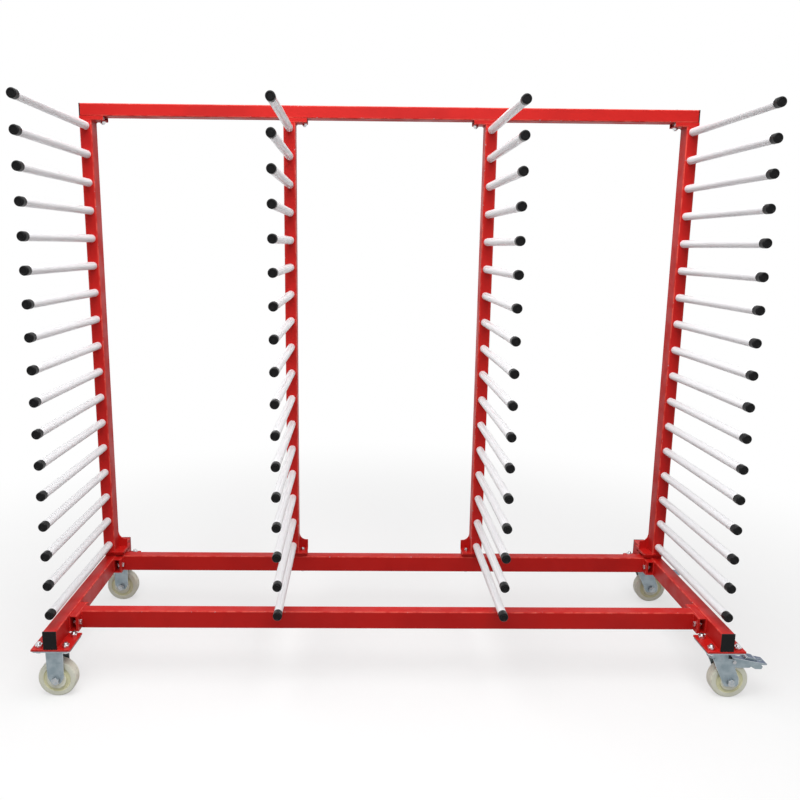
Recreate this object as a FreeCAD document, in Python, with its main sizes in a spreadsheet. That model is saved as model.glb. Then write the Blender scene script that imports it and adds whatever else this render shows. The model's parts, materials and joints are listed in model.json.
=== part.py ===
import FreeCAD, Part
import Sketcher
import math
import os

# Panel drying rack on casters. Millimetres, +Z up, floor at Z = 0.
# The arms point to -Y, the fixed casters are on the -X side, the braked swivel casters on the +X side.

SIZES = {
    # tube stock of the whole frame
    "tube_narrow": 35.0,
    "tube_deep": 50.0,
    "tube_wall": 2.5,
    # frame: the side rails reach ahead of and behind the front faces of the posts,
    # and the gap is between the front caster plates and the front cross rail
    "rack_length": 1800.0,
    "rail_ahead": 507.0,
    "rail_behind": 175.0,
    "front_rail_gap": 27.0,
    "plug_flange": 4.0,
    "plug_depth": 18.0,
    "plug_gap": 0.2,
    # arms
    "arm_pitch": 80.0,
    "arm_rows": 17,
    "arm_reach": 498.0,
    "first_arm_rise": 40.0,
    "top_rail_rise": 27.0,
    "rod_diameter": 19.0,
    "rod_wall": 1.5,
    "sleeve_diameter": 22.4,
    "sleeve_gap": 0.2,
    "cap_diameter": 24.2,
    "cap_length": 20.5,
    "cap_end_wall": 3.0,
    "cap_gap": 0.1,
    "cap_round": 3.0,
    # feet and heads of the posts
    "foot_plate_thick": 5.0,
    "foot_tab": 27.0,
    "foot_tail": 30.0,
    "foot_spacer_height": 11.0,
    "foot_spacer_inset": 10.0,
    "gusset_thick": 4.0,
    "gusset_end_height": 27.0,
    "gusset_round": 22.0,
    "head_tab": 34.0,
    "head_height": 12.0,
    "sheet_thick": 3.0,
    # joints between the side rails and the cross rails
    "joint_depth": 20.0,
    "joint_ear": 27.0,
    "joint_inset": 3.0,
    "flange_thick": 4.0,
    "flange_inset": 2.0,
    # fasteners, M8 on the frame, M10 on the caster plates and M12 on the axles
    "bolt_diameter": 8.0,
    "bolt_hole": 9.0,
    "hex_flats": 13.0,
    "hex_head": 5.3,
    "nut_height": 6.5,
    "nut_bore": 8.2,
    "bolt_end": 3.0,
    "dome_diameter": 17.0,
    "dome_height": 4.5,
    "axle_diameter": 12.0,
    "axle_bore": 12.1,
    "axle_flats": 19.0,
    "axle_head": 7.5,
    "axle_nut": 10.0,
    # casters
    "wheel_diameter": 100.0,
    "wheel_width": 32.0,
    "hub_width": 41.0,
    "hub_diameter": 50.0,
    "web_thick": 24.0,
    "rim_thick": 14.0,
    "tread_round": 4.0,
    "bush_diameter": 16.0,
    "bush_gap": 0.05,
    "caster_height": 145.0,
    "mount_plate_long": 102.0,
    "mount_plate_wide": 95.0,
    "mount_plate_thick": 5.0,
    "caster_plate_long": 100.0,
    "caster_plate_wide": 92.0,
    "caster_plate_thick": 4.0,
    "plate_bolts_long": 70.0,
    "plate_bolts_wide": 60.0,
    "plate_bolt_diameter": 10.0,
    "plate_bolt_hole": 11.0,
    "plate_bolt_flats": 17.0,
    "plate_bolt_head": 6.4,
    "plate_nut_height": 8.0,
    "plate_nut_bore": 10.2,
    "plate_bolt_end": 5.0,
    "fork_gap": 42.0,
    "fork_thick": 3.0,
    "fixed_leg_width": 46.0,
    "fixed_leg_end": 23.0,
    "fixed_leg_drop": 10.0,
    "swivel_trail": 29.5,
    "swivel_leg_back": 24.0,
    "swivel_leg_front": 20.0,
    "swivel_leg_end": 42.0,
    "swivel_leg_drop": 13.0,
    "race_height": 7.0,
    "race_radius": 22.0,
    "race_cover_diameter": 64.0,
    "race_cover_height": 5.0,
    "race_balls": 12,
    "crown_diameter": 58.0,
    "crown_ring_diameter": 54.0,
    "crown_ring_bore": 36.0,
    "crown_ring_height": 17.0,
    "ball_gap": 0.05,
    "king_pin_diameter": 10.0,
    "king_pin_bore": 10.1,
    "king_pin_head": 20.0,
    "king_pin_head_height": 6.0,
    # brake of a swivel caster
    "pedal_reach": 125.0,
    "pedal_width": 39.0,
    "pedal_thick": 2.0,
    "pivot_ahead": 34.0,
    "pivot_height": 108.0,
    "pivot_diameter": 6.0,
    "pivot_bore": 6.1,
    "pivot_head": 10.0,
    "shoe_width": 28.0,
}


class Amount:
    """A number kept together with the sheet expression that gives it."""

    def __init__(self, text, number):
        self.text = text
        self.number = number

    def __add__(self, other):
        other = as_amount(other)
        return Amount("(%s + %s)" % (self.text, other.text), self.number + other.number)

    def __radd__(self, other):
        return as_amount(other) + self

    def __sub__(self, other):
        other = as_amount(other)
        return Amount("(%s - %s)" % (self.text, other.text), self.number - other.number)

    def __rsub__(self, other):
        return as_amount(other) - self

    def __mul__(self, factor):
        return Amount("(%s * %s)" % (self.text, repr(factor)), self.number * factor)

    def __truediv__(self, factor):
        return Amount("(%s / %s)" % (self.text, repr(factor)), self.number / factor)

    def __neg__(self):
        return Amount("(0 - %s)" % self.text, -self.number)


def as_amount(item):
    if isinstance(item, Amount):
        return item
    return Amount(repr(item), float(item))


class Namespace:
    """Holds one amount for each size."""


doc = FreeCAD.newDocument("panel_drying_rack")
sheet = doc.addObject("Spreadsheet::Sheet", "Sizes")
s = Namespace()
for row, (name, number) in enumerate(SIZES.items(), start=1):
    cell = "A%d" % row
    sheet.set(cell, repr(number))
    sheet.setAlias(cell, name)
    setattr(s, name, Amount("Sizes." + name, float(number)))
doc.recompute()

ROWS = int(SIZES["arm_rows"])
BALLS = int(SIZES["race_balls"])
SIDES = (-1, 1)

# Rack coordinates: X = 0 midway between the outer posts, Y = 0 on the front faces of the posts.
# The two shifts centre the whole box on the origin.
shift_x = (s.mount_plate_long / 2 - s.pedal_reach) / 2
shift_y = (s.rail_ahead - s.rail_behind) / 2
post_x = (s.rack_length - s.tube_narrow) / 2
inner_post_x = post_x / 3
rail_inner = post_x - s.tube_narrow / 2
rail_bottom = s.caster_height + s.mount_plate_thick
rail_top = rail_bottom + s.tube_deep
rail_middle = rail_bottom + s.tube_deep / 2
rail_length = s.rail_ahead + s.rail_behind - s.plug_flange * 2
rail_centre_y = (s.rail_behind - s.rail_ahead) / 2
front_caster_y = s.mount_plate_wide / 2 - s.rail_ahead
front_rail_y = front_caster_y + (s.mount_plate_wide + s.tube_narrow) / 2 + s.front_rail_gap
rear_rail_y = s.tube_deep / 2
foot_top = rail_top + s.foot_spacer_height + s.foot_plate_thick
first_arm = rail_top + s.first_arm_rise
top_rail_bottom = first_arm + s.arm_pitch * (ROWS - 1) + s.top_rail_rise
top_rail_top = top_rail_bottom + s.tube_narrow
head_bottom = top_rail_bottom - s.head_height
joint_inner = rail_inner - s.joint_depth
cross_half = joint_inner - s.flange_thick
flange_width = s.tube_narrow + s.joint_ear * 2
ear_middle = (s.tube_narrow + s.joint_ear) / 2
foot_length = s.tube_narrow + s.foot_tab
foot_bolt_x = s.tube_narrow / 2 + s.foot_tab * 0.4
foot_bolt_y = s.tube_deep + s.foot_tail / 2
head_length = s.tube_narrow + s.head_tab
head_bolt_x = s.tube_narrow / 2 + s.head_tab * 0.76
rear_caster_y = s.rail_behind - s.mount_plate_wide / 2
plate_bottom = s.caster_height - s.caster_plate_thick
race_bottom = plate_bottom - s.race_height
crown_top = race_bottom - s.crown_ring_height
axle_height = s.wheel_diameter / 2
fork_width = s.fork_gap + s.fork_thick * 2

POSTS = (
    ("left", -post_x),
    ("mid_left", -inner_post_x),
    ("mid_right", inner_post_x),
    ("right", post_x),
)
CASTERS = (
    ("front", front_caster_y),
    ("rear", rear_caster_y),
)
nodes = []


def keep(item, label):
    item.Label = label
    nodes.append(item)


def place(item, x, y, z):
    """Bind the position of a piece, given in rack coordinates."""
    item.setExpression("Placement.Base.x", (shift_x + x).text)
    item.setExpression("Placement.Base.y", (shift_y + y).text)
    item.setExpression("Placement.Base.z", as_amount(z).text)


def new_body(name):
    body = doc.addObject("PartDesign::Body", name)
    body.AllowCompound = True
    return body


def new_sketch(body, plane):
    sketch = body.newObject("Sketcher::SketchObject", "Sketch")
    for feature in body.Origin.OriginFeatures:
        if feature.Role == plane:
            sketch.AttachmentSupport = [(feature, "")]
    sketch.MapMode = "FlatFace"
    return sketch


def tie(sketch, kind, target, amount):
    """Add one dimension and bind it to the sheet."""
    index = sketch.addConstraint(Sketcher.Constraint(kind, *target, amount.number))
    sketch.setExpression("Constraints[%d]" % index, amount.text)


def pin_point(sketch, edge, end, x, y):
    """Hold one point of a sketch at a bound position; a zero puts it on the axis itself."""
    for amount, axis, kind in ((x, -2, "DistanceX"), (y, -1, "DistanceY")):
        amount = as_amount(amount)
        if amount.number == 0.0:
            sketch.addConstraint(Sketcher.Constraint("PointOnObject", edge, end, axis))
        else:
            tie(sketch, kind, (-1, 1, edge, end), amount)


def as_vector(x, y):
    return FreeCAD.Vector(as_amount(x).number, as_amount(y).number, 0)


def outline(sketch, points):
    """Closed outline of straight edges through bound corners."""
    first = sketch.GeometryCount
    total = len(points)
    for index in range(total):
        start = as_vector(*points[index])
        stop = as_vector(*points[(index + 1) % total])
        sketch.addGeometry(Part.LineSegment(start, stop), False)
    for index in range(total):
        following = first + (index + 1) % total
        sketch.addConstraint(Sketcher.Constraint("Coincident", first + index, 2, following, 1))
    for index in range(total):
        pin_point(sketch, first + index, 1, *points[index])


def rectangle(sketch, width, height):
    outline(sketch, [
        (-width / 2, -height / 2),
        (width / 2, -height / 2),
        (width / 2, height / 2),
        (-width / 2, height / 2),
    ])


def circle(sketch, x, y, diameter):
    ring = Part.Circle(as_vector(x, y), FreeCAD.Vector(0, 0, 1), diameter.number / 2)
    edge = sketch.addGeometry(ring, False)
    pin_point(sketch, edge, 3, x, y)
    tie(sketch, "Diameter", (edge,), diameter)


def leg_outline(sketch, left, right, top, centre_x, centre_y, radius):
    """Outline of a fork leg: straight top, two sides that run tangent into a round end."""
    centre = as_vector(centre_x, centre_y)
    touch = []
    for corner_x, turn in ((left, 1), (right, -1)):
        reach = as_vector(corner_x, top) - centre
        angle = math.atan2(reach.y, reach.x) + turn * math.acos(radius.number / reach.Length)
        touch.append(angle % (2 * math.pi))
    ring = Part.Circle(centre, FreeCAD.Vector(0, 0, 1), radius.number)
    arc = sketch.addGeometry(Part.ArcOfCircle(ring, touch[0], touch[1] + 2 * math.pi), False)
    ends = []
    for angle in touch:
        ends.append(centre + FreeCAD.Vector(math.cos(angle), math.sin(angle), 0) * radius.number)
    upper = sketch.addGeometry(Part.LineSegment(as_vector(left, top), as_vector(right, top)), False)
    right_side = sketch.addGeometry(Part.LineSegment(as_vector(right, top), ends[1]), False)
    left_side = sketch.addGeometry(Part.LineSegment(ends[0], as_vector(left, top)), False)
    sketch.addConstraint(Sketcher.Constraint("Coincident", upper, 2, right_side, 1))
    sketch.addConstraint(Sketcher.Constraint("Coincident", left_side, 2, upper, 1))
    sketch.addConstraint(Sketcher.Constraint("Tangent", arc, 1, left_side, 1))
    sketch.addConstraint(Sketcher.Constraint("Tangent", arc, 2, right_side, 2))
    pin_point(sketch, upper, 1, left, top)
    pin_point(sketch, upper, 2, right, top)
    pin_point(sketch, arc, 3, centre_x, centre_y)
    tie(sketch, "Radius", (arc,), radius)


def pad(body, sketch, length, side="Symmetric", backwards=False):
    feature = body.newObject("PartDesign::Pad", "Pad")
    feature.Profile = sketch
    feature.SideType = side
    feature.Reversed = backwards
    feature.setExpression("Length", length.text)
    sketch.Visibility = False
    return feature


def pocket_through(body, sketch):
    feature = body.newObject("PartDesign::Pocket", "Pocket")
    feature.Profile = sketch
    feature.SideType = "Symmetric"
    feature.Type = "ThroughAll"
    sketch.Visibility = False
    return feature


def revolve(body, sketch):
    feature = body.newObject("PartDesign::Revolution", "Revolution")
    feature.Profile = sketch
    feature.ReferenceAxis = (sketch, ["H_Axis"])
    feature.Angle = 360
    sketch.Visibility = False
    return feature


def drill(body, plane, points, diameter):
    """Round holes right through a body, square to one of its origin planes."""
    sketch = new_sketch(body, plane)
    for x, y in points:
        circle(sketch, x, y, diameter)
    doc.recompute()
    pocket_through(body, sketch)


def tube(name, plane, width, height, length):
    """Rectangular tube centred on its own origin."""
    body = new_body(name)
    sketch = new_sketch(body, plane)
    rectangle(sketch, width, height)
    rectangle(sketch, width - s.tube_wall * 2, height - s.tube_wall * 2)
    pad(body, sketch, length)
    return body


def moved(shape, x, y, z, mirrored=False):
    """Copy of a shape at a position in rack coordinates, mirrored left to right when asked."""
    copy = shape.copy()
    if mirrored:
        copy = copy.mirror(FreeCAD.Vector(0, 0, 0), FreeCAD.Vector(1, 0, 0))
    target = FreeCAD.Vector((shift_x + x).number, (shift_y + y).number, as_amount(z).number)
    copy.translate(target)
    return copy


def group(label, shapes):
    item = doc.addObject("Part::Feature", label)
    item.Shape = Part.makeCompound(shapes)
    keep(item, label)


def cylinder(diameter, length, axis):
    return Part.makeCylinder(diameter.number / 2, length.number, FreeCAD.Vector(0, 0, 0), axis)


def hexagon(flats, length, axis):
    """Hexagonal prism from the origin along an axis."""
    corners = []
    for step in range(7):
        angle = math.radians(60 * step)
        radius = flats.number / math.sqrt(3)
        corners.append(FreeCAD.Vector(radius * math.cos(angle), radius * math.sin(angle), 0))
    prism = Part.Face(Part.makePolygon(corners)).extrude(FreeCAD.Vector(0, 0, length.number))
    prism.Placement = FreeCAD.Placement(
        FreeCAD.Vector(0, 0, 0), FreeCAD.Rotation(FreeCAD.Vector(0, 0, 1), axis))
    return prism


def hex_bolt(flats, head, diameter, length, axis):
    """Bolt whose head sits below the origin and whose shank runs along the axis."""
    bolt = hexagon(flats, head, -axis)
    return bolt.fuse(cylinder(diameter, length, axis)).removeSplitter()


def hex_nut(flats, height, bore, axis):
    return hexagon(flats, height, axis).cut(cylinder(bore, height, axis))


CENTRE = FreeCAD.Vector(0, 0, 0)
UP = FreeCAD.Vector(0, 0, 1)
LEFT = FreeCAD.Vector(-1, 0, 0)
AWAY = FreeCAD.Vector(0, 1, 0)

# Side rails, on edge, open at both ends for the plugs. The rear bolt of each outer foot goes through.
for side, label in ((-1, "side_rail_left"), (1, "side_rail_right")):
    rail = tube(label, "XZ_Plane", s.tube_narrow, s.tube_deep, rail_length)
    drill(rail, "XY_Plane", [(0, foot_bolt_y - rail_centre_y)], s.bolt_hole)
    place(rail, post_x * side, rail_centre_y, rail_middle)
    keep(rail, label)

# Cross rails. The rear one carries the two inner posts.
front_rail = tube("front_cross_rail", "YZ_Plane", s.tube_narrow, s.tube_deep, cross_half * 2)
place(front_rail, as_amount(0), front_rail_y, rail_middle)
keep(front_rail, "front_cross_rail")
rear_rail = tube("rear_cross_rail", "YZ_Plane", s.tube_narrow, s.tube_deep, cross_half * 2)
inner_bolt_x = inner_post_x - foot_bolt_x
drill(rear_rail, "XY_Plane", [(inner_bolt_x * side, 0) for side in SIDES], s.bolt_hole)
place(rear_rail, as_amount(0), rear_rail_y, rail_middle)
keep(rear_rail, "rear_cross_rail")

# Top rail, laid flat on the heads of the posts.
top_rail = tube("top_rail", "YZ_Plane", s.tube_deep, s.tube_narrow, s.rack_length - s.plug_flange * 2)
head_bolt_places = []
for name, x in POSTS:
    side = 1 if x.number > 0 else -1
    head_bolt_places.append(x - head_bolt_x * side)
drill(top_rail, "XY_Plane", [(x, 0) for x in head_bolt_places], s.bolt_hole)
place(top_rail, as_amount(0), s.tube_deep / 2, top_rail_bottom + s.tube_narrow / 2)
keep(top_rail, "top_rail")

# Posts.
for name, x in POSTS:
    post = tube("post_" + name, "XY_Plane", s.tube_narrow, s.tube_deep, head_bottom - foot_top)
    place(post, x, s.tube_deep / 2, (head_bottom + foot_top) / 2)
    keep(post, "post_" + name)

# Plugs in the open tube ends: a flange outside and a body inside the tube.
plug = new_body("plug_master")
plug_sketch = new_sketch(plug, "XZ_Plane")
rectangle(plug_sketch, s.tube_narrow, s.tube_deep)
pad(plug, plug_sketch, s.plug_flange, "One side")
plug_bore = s.tube_wall * 2 + s.plug_gap * 2
plug_inner = new_sketch(plug, "XZ_Plane")
rectangle(plug_inner, s.tube_narrow - plug_bore, s.tube_deep - plug_bore)
pad(plug, plug_inner, s.plug_depth, "One side", True)
doc.recompute()
rail_plugs = []
for side in SIDES:
    front_plug = plug.Shape.copy()
    rear_plug = plug.Shape.copy()
    rear_plug.rotate(CENTRE, UP, 180)
    rail_plugs.append(moved(front_plug, post_x * side, s.plug_flange - s.rail_ahead, rail_middle))
    rail_plugs.append(moved(rear_plug, post_x * side, s.rail_behind - s.plug_flange, rail_middle))
group("rail_end_plugs", rail_plugs)
top_plugs = []
for side in SIDES:
    end_plug = plug.Shape.copy()
    end_plug.rotate(CENTRE, AWAY, 90)
    end_plug.rotate(CENTRE, UP, 90 * side)
    end_x = (s.rack_length / 2 - s.plug_flange) * side
    top_plugs.append(moved(end_plug, end_x, s.tube_deep / 2, top_rail_bottom + s.tube_narrow / 2))
group("top_rail_plugs", top_plugs)

# Head channels: legs up against the top rail, web on the post, a tab for the bolt towards the middle.
head = new_body("head_channel_master")
head_sketch = new_sketch(head, "YZ_Plane")
half_deep = s.tube_deep / 2
half_gap = half_deep - s.sheet_thick
outline(head_sketch, [
    (-half_deep, 0),
    (half_deep, 0),
    (half_deep, s.head_height),
    (half_gap, s.head_height),
    (half_gap, s.sheet_thick),
    (-half_gap, s.sheet_thick),
    (-half_gap, s.head_height),
    (-half_deep, s.head_height),
])
pad(head, head_sketch, head_length)
drill(head, "XY_Plane", [(s.head_tab / 2 - head_bolt_x, 0)], s.bolt_hole)
doc.recompute()
heads = []
for name, x in POSTS:
    side = 1 if x.number > 0 else -1
    centre = x - s.head_tab / 2 * side
    heads.append(moved(head.Shape, centre, half_deep, head_bottom, side < 0))
group("head_channels", heads)


def foot_piece(name, tail, inset, height, with_channel):
    """Foot plate or foot spacer of one post; the spacer is a channel with its legs down."""
    body = new_body(name)
    sketch = new_sketch(body, "YZ_Plane")
    near = as_amount(inset)
    far = s.tube_deep + tail - inset
    if with_channel:
        outline(sketch, [
            (near, 0),
            (near + s.sheet_thick, 0),
            (near + s.sheet_thick, height - s.sheet_thick),
            (far - s.sheet_thick, height - s.sheet_thick),
            (far - s.sheet_thick, 0),
            (far, 0),
            (far, height),
            (near, height),
        ])
    else:
        outline(sketch, [(near, 0), (far, 0), (far, height), (near, height)])
    pad(body, sketch, foot_length)
    return body


# Feet. An outer post stands on its side rail and is bolted behind; an inner post stands on the rear
# cross rail and is bolted beside. Both have a tab towards the middle of the rack.
no_tail = as_amount(0.0)
outer_hole = [(s.foot_tab / 2, foot_bolt_y)]
inner_hole = [(s.foot_tab / 2 - foot_bolt_x, half_deep)]
plates = []
spacers = []
for tail, hole, x in ((s.foot_tail, outer_hole, post_x), (no_tail, inner_hole, inner_post_x)):
    plate = foot_piece("foot_plate_master", tail, 0, s.foot_plate_thick, False)
    drill(plate, "XY_Plane", hole, s.bolt_hole)
    spacer = foot_piece("foot_spacer_master", tail, s.foot_spacer_inset, s.foot_spacer_height, True)
    drill(spacer, "XY_Plane", hole, s.bolt_hole)
    doc.recompute()
    for side in SIDES:
        centre = (x - s.foot_tab / 2) * side
        plates.append(moved(plate.Shape, centre, no_tail, rail_top + s.foot_spacer_height, side < 0))
        spacers.append(moved(spacer.Shape, centre, no_tail, rail_top, side < 0))
group("foot_plates", plates)
group("foot_spacers", spacers)

# Curved gussets behind the tabs of the feet, from the inner side of each post.
gusset = new_body("gusset_master")
gusset_sketch = new_sketch(gusset, "XZ_Plane")
top_of_round = s.gusset_end_height + s.gusset_round
outline(gusset_sketch, [
    (0, 0),
    (s.foot_tab, 0),
    (s.foot_tab, s.gusset_end_height),
    (s.gusset_round, s.gusset_end_height),
    (s.gusset_round, top_of_round),
    (0, top_of_round),
])
pad(gusset, gusset_sketch, s.gusset_thick, "One side")
gusset_round = new_sketch(gusset, "XZ_Plane")
circle(gusset_round, s.gusset_round, top_of_round, s.gusset_round * 2)
doc.recompute()
pocket_through(gusset, gusset_round)
doc.recompute()
gussets = []
for name, x in POSTS:
    side = 1 if x.number > 0 else -1
    inner_face = x - s.tube_narrow / 2 * side
    gussets.append(moved(gusset.Shape, inner_face, s.tube_deep, foot_top, side > 0))
group("foot_gussets", gussets)

# Joints of the cross rails: a short tube welded to the side rail and a flange on the end of the cross rail.
joint_tube = tube(
    "joint_tube_master", "XZ_Plane", s.joint_depth, s.tube_deep - s.joint_inset * 2, flange_width)
ear_holes = [(ear_middle * side, 0) for side in SIDES]
drill(joint_tube, "YZ_Plane", ear_holes, s.bolt_hole)
flange = new_body("joint_flange_master")
flange_sketch = new_sketch(flange, "YZ_Plane")
rectangle(flange_sketch, flange_width, s.tube_deep - s.flange_inset * 2)
pad(flange, flange_sketch, s.flange_thick, "One side")
drill(flange, "YZ_Plane", ear_holes, s.bolt_hole)
doc.recompute()
joint_tubes = []
flanges = []
for y in (front_rail_y, rear_rail_y):
    for side in SIDES:
        tube_x = (joint_inner + s.joint_depth / 2) * side
        joint_tubes.append(moved(joint_tube.Shape, tube_x, y, rail_middle))
        flanges.append(moved(flange.Shape, cross_half * side, y, rail_middle, side < 0))
group("joint_tubes", joint_tubes)
group("joint_flanges", flanges)

# Arms: on every post a column of tubes, each with a sleeve and an end cap.
def arm_column(label, diameter, bore, length, x):
    """Column of rings along -Y, starting on the front face of a post."""
    body = new_body(label)
    sketch = new_sketch(body, "XZ_Plane")
    circle(sketch, 0, 0, diameter)
    circle(sketch, 0, 0, bore)
    ring = pad(body, sketch, length, "One side")
    repeat_upwards(body, ring)
    place(body, x, as_amount(0), first_arm)
    keep(body, label)


def repeat_upwards(body, feature):
    pattern = body.newObject("PartDesign::LinearPattern", "LinearPattern")
    pattern.Originals = [feature]
    for axis in body.Origin.OriginFeatures:
        if axis.Role == "Z_Axis":
            pattern.Direction = (axis, [""])
    pattern.setExpression("Length", (s.arm_pitch * (ROWS - 1)).text)
    pattern.Occurrences = ROWS
    body.Tip = pattern


sleeve_length = s.arm_reach - s.cap_end_wall
rod_length = sleeve_length - s.rod_wall
for name, x in POSTS:
    arm_column("arm_rods_" + name, s.rod_diameter, s.rod_diameter - s.rod_wall * 2, rod_length, x)
    sleeve_bore = s.rod_diameter + s.sleeve_gap * 2
    arm_column("arm_sleeves_" + name, s.sleeve_diameter, sleeve_bore, sleeve_length, x)
    caps = new_body("arm_caps_" + name)
    cap_sketch = new_sketch(caps, "YZ_Plane")
    cap_radius = s.cap_diameter / 2
    cap_bore_radius = s.sleeve_diameter / 2 + s.cap_gap
    outline(cap_sketch, [
        (s.cap_end_wall, 0),
        (0, 0),
        (0, cap_radius - s.cap_round),
        (s.cap_round * 0.3, cap_radius - s.cap_round * 0.3),
        (s.cap_round, cap_radius),
        (s.cap_length, cap_radius),
        (s.cap_length, cap_bore_radius),
        (s.cap_end_wall, cap_bore_radius),
    ])
    cap = revolve(caps, cap_sketch)
    repeat_upwards(caps, cap)
    place(caps, x, -s.arm_reach, first_arm)
    keep(caps, "arm_caps_" + name)

# Red mount plates under the rail ends.
bolt_corners = []
for side in SIDES:
    for end in SIDES:
        bolt_corners.append((s.plate_bolts_long / 2 * side, s.plate_bolts_wide / 2 * end))
mount_plate = new_body("mount_plate_master")
mount_sketch = new_sketch(mount_plate, "XY_Plane")
rectangle(mount_sketch, s.mount_plate_long, s.mount_plate_wide)
pad(mount_plate, mount_sketch, s.mount_plate_thick, "One side")
drill(mount_plate, "XY_Plane", bolt_corners, s.plate_bolt_hole)
doc.recompute()
mount_plates = []
for side in SIDES:
    for name, y in CASTERS:
        mount_plates.append(moved(mount_plate.Shape, post_x * side, y, s.caster_height))
group("caster_mount_plates", mount_plates)

# Bolts and nuts of the frame.
plate_bolt = hex_bolt(
    s.plate_bolt_flats, s.plate_bolt_head, s.plate_bolt_diameter,
    rail_bottom - plate_bottom + s.plate_nut_height + s.plate_bolt_end, UP)
plate_nut = hex_nut(s.plate_bolt_flats, s.plate_nut_height, s.plate_nut_bore, UP)
nut_up = hex_nut(s.hex_flats, s.nut_height, s.nut_bore, UP)
joint_bolt = hex_bolt(
    s.hex_flats, s.hex_head, s.bolt_diameter,
    s.flange_thick + s.tube_wall + s.nut_height + s.bolt_end, -LEFT)
nut_across = hex_nut(s.hex_flats, s.nut_height, s.nut_bore, -LEFT)
foot_bolt = hex_bolt(
    s.hex_flats, s.hex_head, s.bolt_diameter,
    foot_top - rail_bottom + s.nut_height + s.bolt_end, UP)
dome_radius = s.dome_diameter.number / 2
dome_rise = s.dome_height.number
ball_radius = (dome_radius ** 2 + dome_rise ** 2) / (2 * dome_rise)
dome = Part.makeSphere(ball_radius, FreeCAD.Vector(0, 0, dome_rise - ball_radius))
dome = dome.common(cylinder(s.dome_diameter, s.dome_height, UP))
head_shank = cylinder(
    s.bolt_diameter, top_rail_top - head_bottom + s.nut_height + s.bolt_end, -UP)
head_bolt = dome.fuse(head_shank).removeSplitter()

plate_bolts = []
frame_nuts = []
for side in SIDES:
    for name, y in CASTERS:
        for offset_x, offset_y in bolt_corners:
            bolt_x = post_x * side + offset_x
            plate_bolts.append(moved(plate_bolt, bolt_x, y + offset_y, plate_bottom))
            frame_nuts.append(moved(plate_nut, bolt_x, y + offset_y, rail_bottom))
joint_bolts = []
for y in (front_rail_y, rear_rail_y):
    for side in SIDES:
        for end in SIDES:
            bolt_y = y + ear_middle * end
            joint_bolts.append(moved(joint_bolt, cross_half * side, bolt_y, rail_middle, side < 0))
            nut_x = (joint_inner + s.tube_wall) * side
            frame_nuts.append(moved(nut_across, nut_x, bolt_y, rail_middle, side < 0))
foot_bolts = []
for side in SIDES:
    for x, y in ((post_x * side, foot_bolt_y), (inner_bolt_x * side, half_deep)):
        foot_bolts.append(moved(foot_bolt, x, y, rail_bottom))
        frame_nuts.append(moved(nut_up, x, y, foot_top))
head_bolts = []
for x in head_bolt_places:
    head_bolts.append(moved(head_bolt, x, half_deep, top_rail_top))
    frame_nuts.append(moved(nut_up, x, half_deep, head_bottom - s.nut_height))
group("caster_bolts", plate_bolts)
group("joint_bolts", joint_bolts)
group("foot_bolts", foot_bolts)
group("head_bolts", head_bolts)
group("frame_nuts", frame_nuts)


def fork_gap_outline(sketch, top):
    """Space between the legs of a fork, below its top sheet."""
    outline(sketch, [
        (-s.fork_gap / 2, 0),
        (s.fork_gap / 2, 0),
        (s.fork_gap / 2, top),
        (-s.fork_gap / 2, top),
    ])


# Fixed casters on the left: a pressed fork with its own plate, the axle bolt and its nut.
for name, y in CASTERS:
    fork = new_body("fixed_fork_%s_left" % name)
    leg_sketch = new_sketch(fork, "XZ_Plane")
    leg_half = s.fixed_leg_width / 2
    end_half = s.fixed_leg_end / 2
    leg_right = [
        (end_half, axle_height - s.fixed_leg_drop),
        (leg_half * 0.94, axle_height + s.fixed_leg_drop * 0.8),
        (leg_half, s.caster_height),
    ]
    leg_left = [(-x, z) for x, z in reversed(leg_right)]
    outline(leg_sketch, leg_right + leg_left)
    pad(fork, leg_sketch, fork_width)
    gap_sketch = new_sketch(fork, "YZ_Plane")
    fork_gap_outline(gap_sketch, plate_bottom)
    doc.recompute()
    pocket_through(fork, gap_sketch)
    plate_sketch = new_sketch(fork, "XY_Plane")
    rectangle(plate_sketch, s.caster_plate_long, s.caster_plate_wide)
    plate_sketch.setExpression("AttachmentOffset.Base.z", s.caster_height.text)
    pad(fork, plate_sketch, s.caster_plate_thick, "One side", True)
    doc.recompute()
    drill(fork, "XY_Plane", bolt_corners, s.plate_bolt_hole)
    drill(fork, "XZ_Plane", [(0, axle_height)], s.axle_bore)
    place(fork, -post_x, y, 0)
    keep(fork, "fixed_fork_%s_left" % name)

axle_bolt = hex_bolt(
    s.axle_flats, s.axle_head, s.axle_diameter, fork_width + s.axle_nut + s.bolt_end, AWAY)
axle_nut = hex_nut(s.axle_flats, s.axle_nut, s.axle_bore, AWAY)
half_fork = fork_width / 2


def axle_pieces(x, y, turned):
    """Axle bolt and nut through a fork; turned puts the nut on the front side."""
    bolt = axle_bolt.copy()
    bolt.translate(FreeCAD.Vector(0, -half_fork.number, 0))
    nut = axle_nut.copy()
    nut.translate(FreeCAD.Vector(0, half_fork.number, 0))
    if turned:
        bolt.rotate(CENTRE, UP, 180)
        nut.rotate(CENTRE, UP, 180)
    return moved(bolt, x, y, axle_height), moved(nut, x, y, axle_height)


fixed_bolts = []
fixed_nuts = []
for name, y in CASTERS:
    bolt, nut = axle_pieces(-post_x, y, name == "rear")
    fixed_bolts.append(bolt)
    fixed_nuts.append(nut)
group("fixed_axle_bolts", fixed_bolts)
group("fixed_axle_nuts", fixed_nuts)

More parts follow.
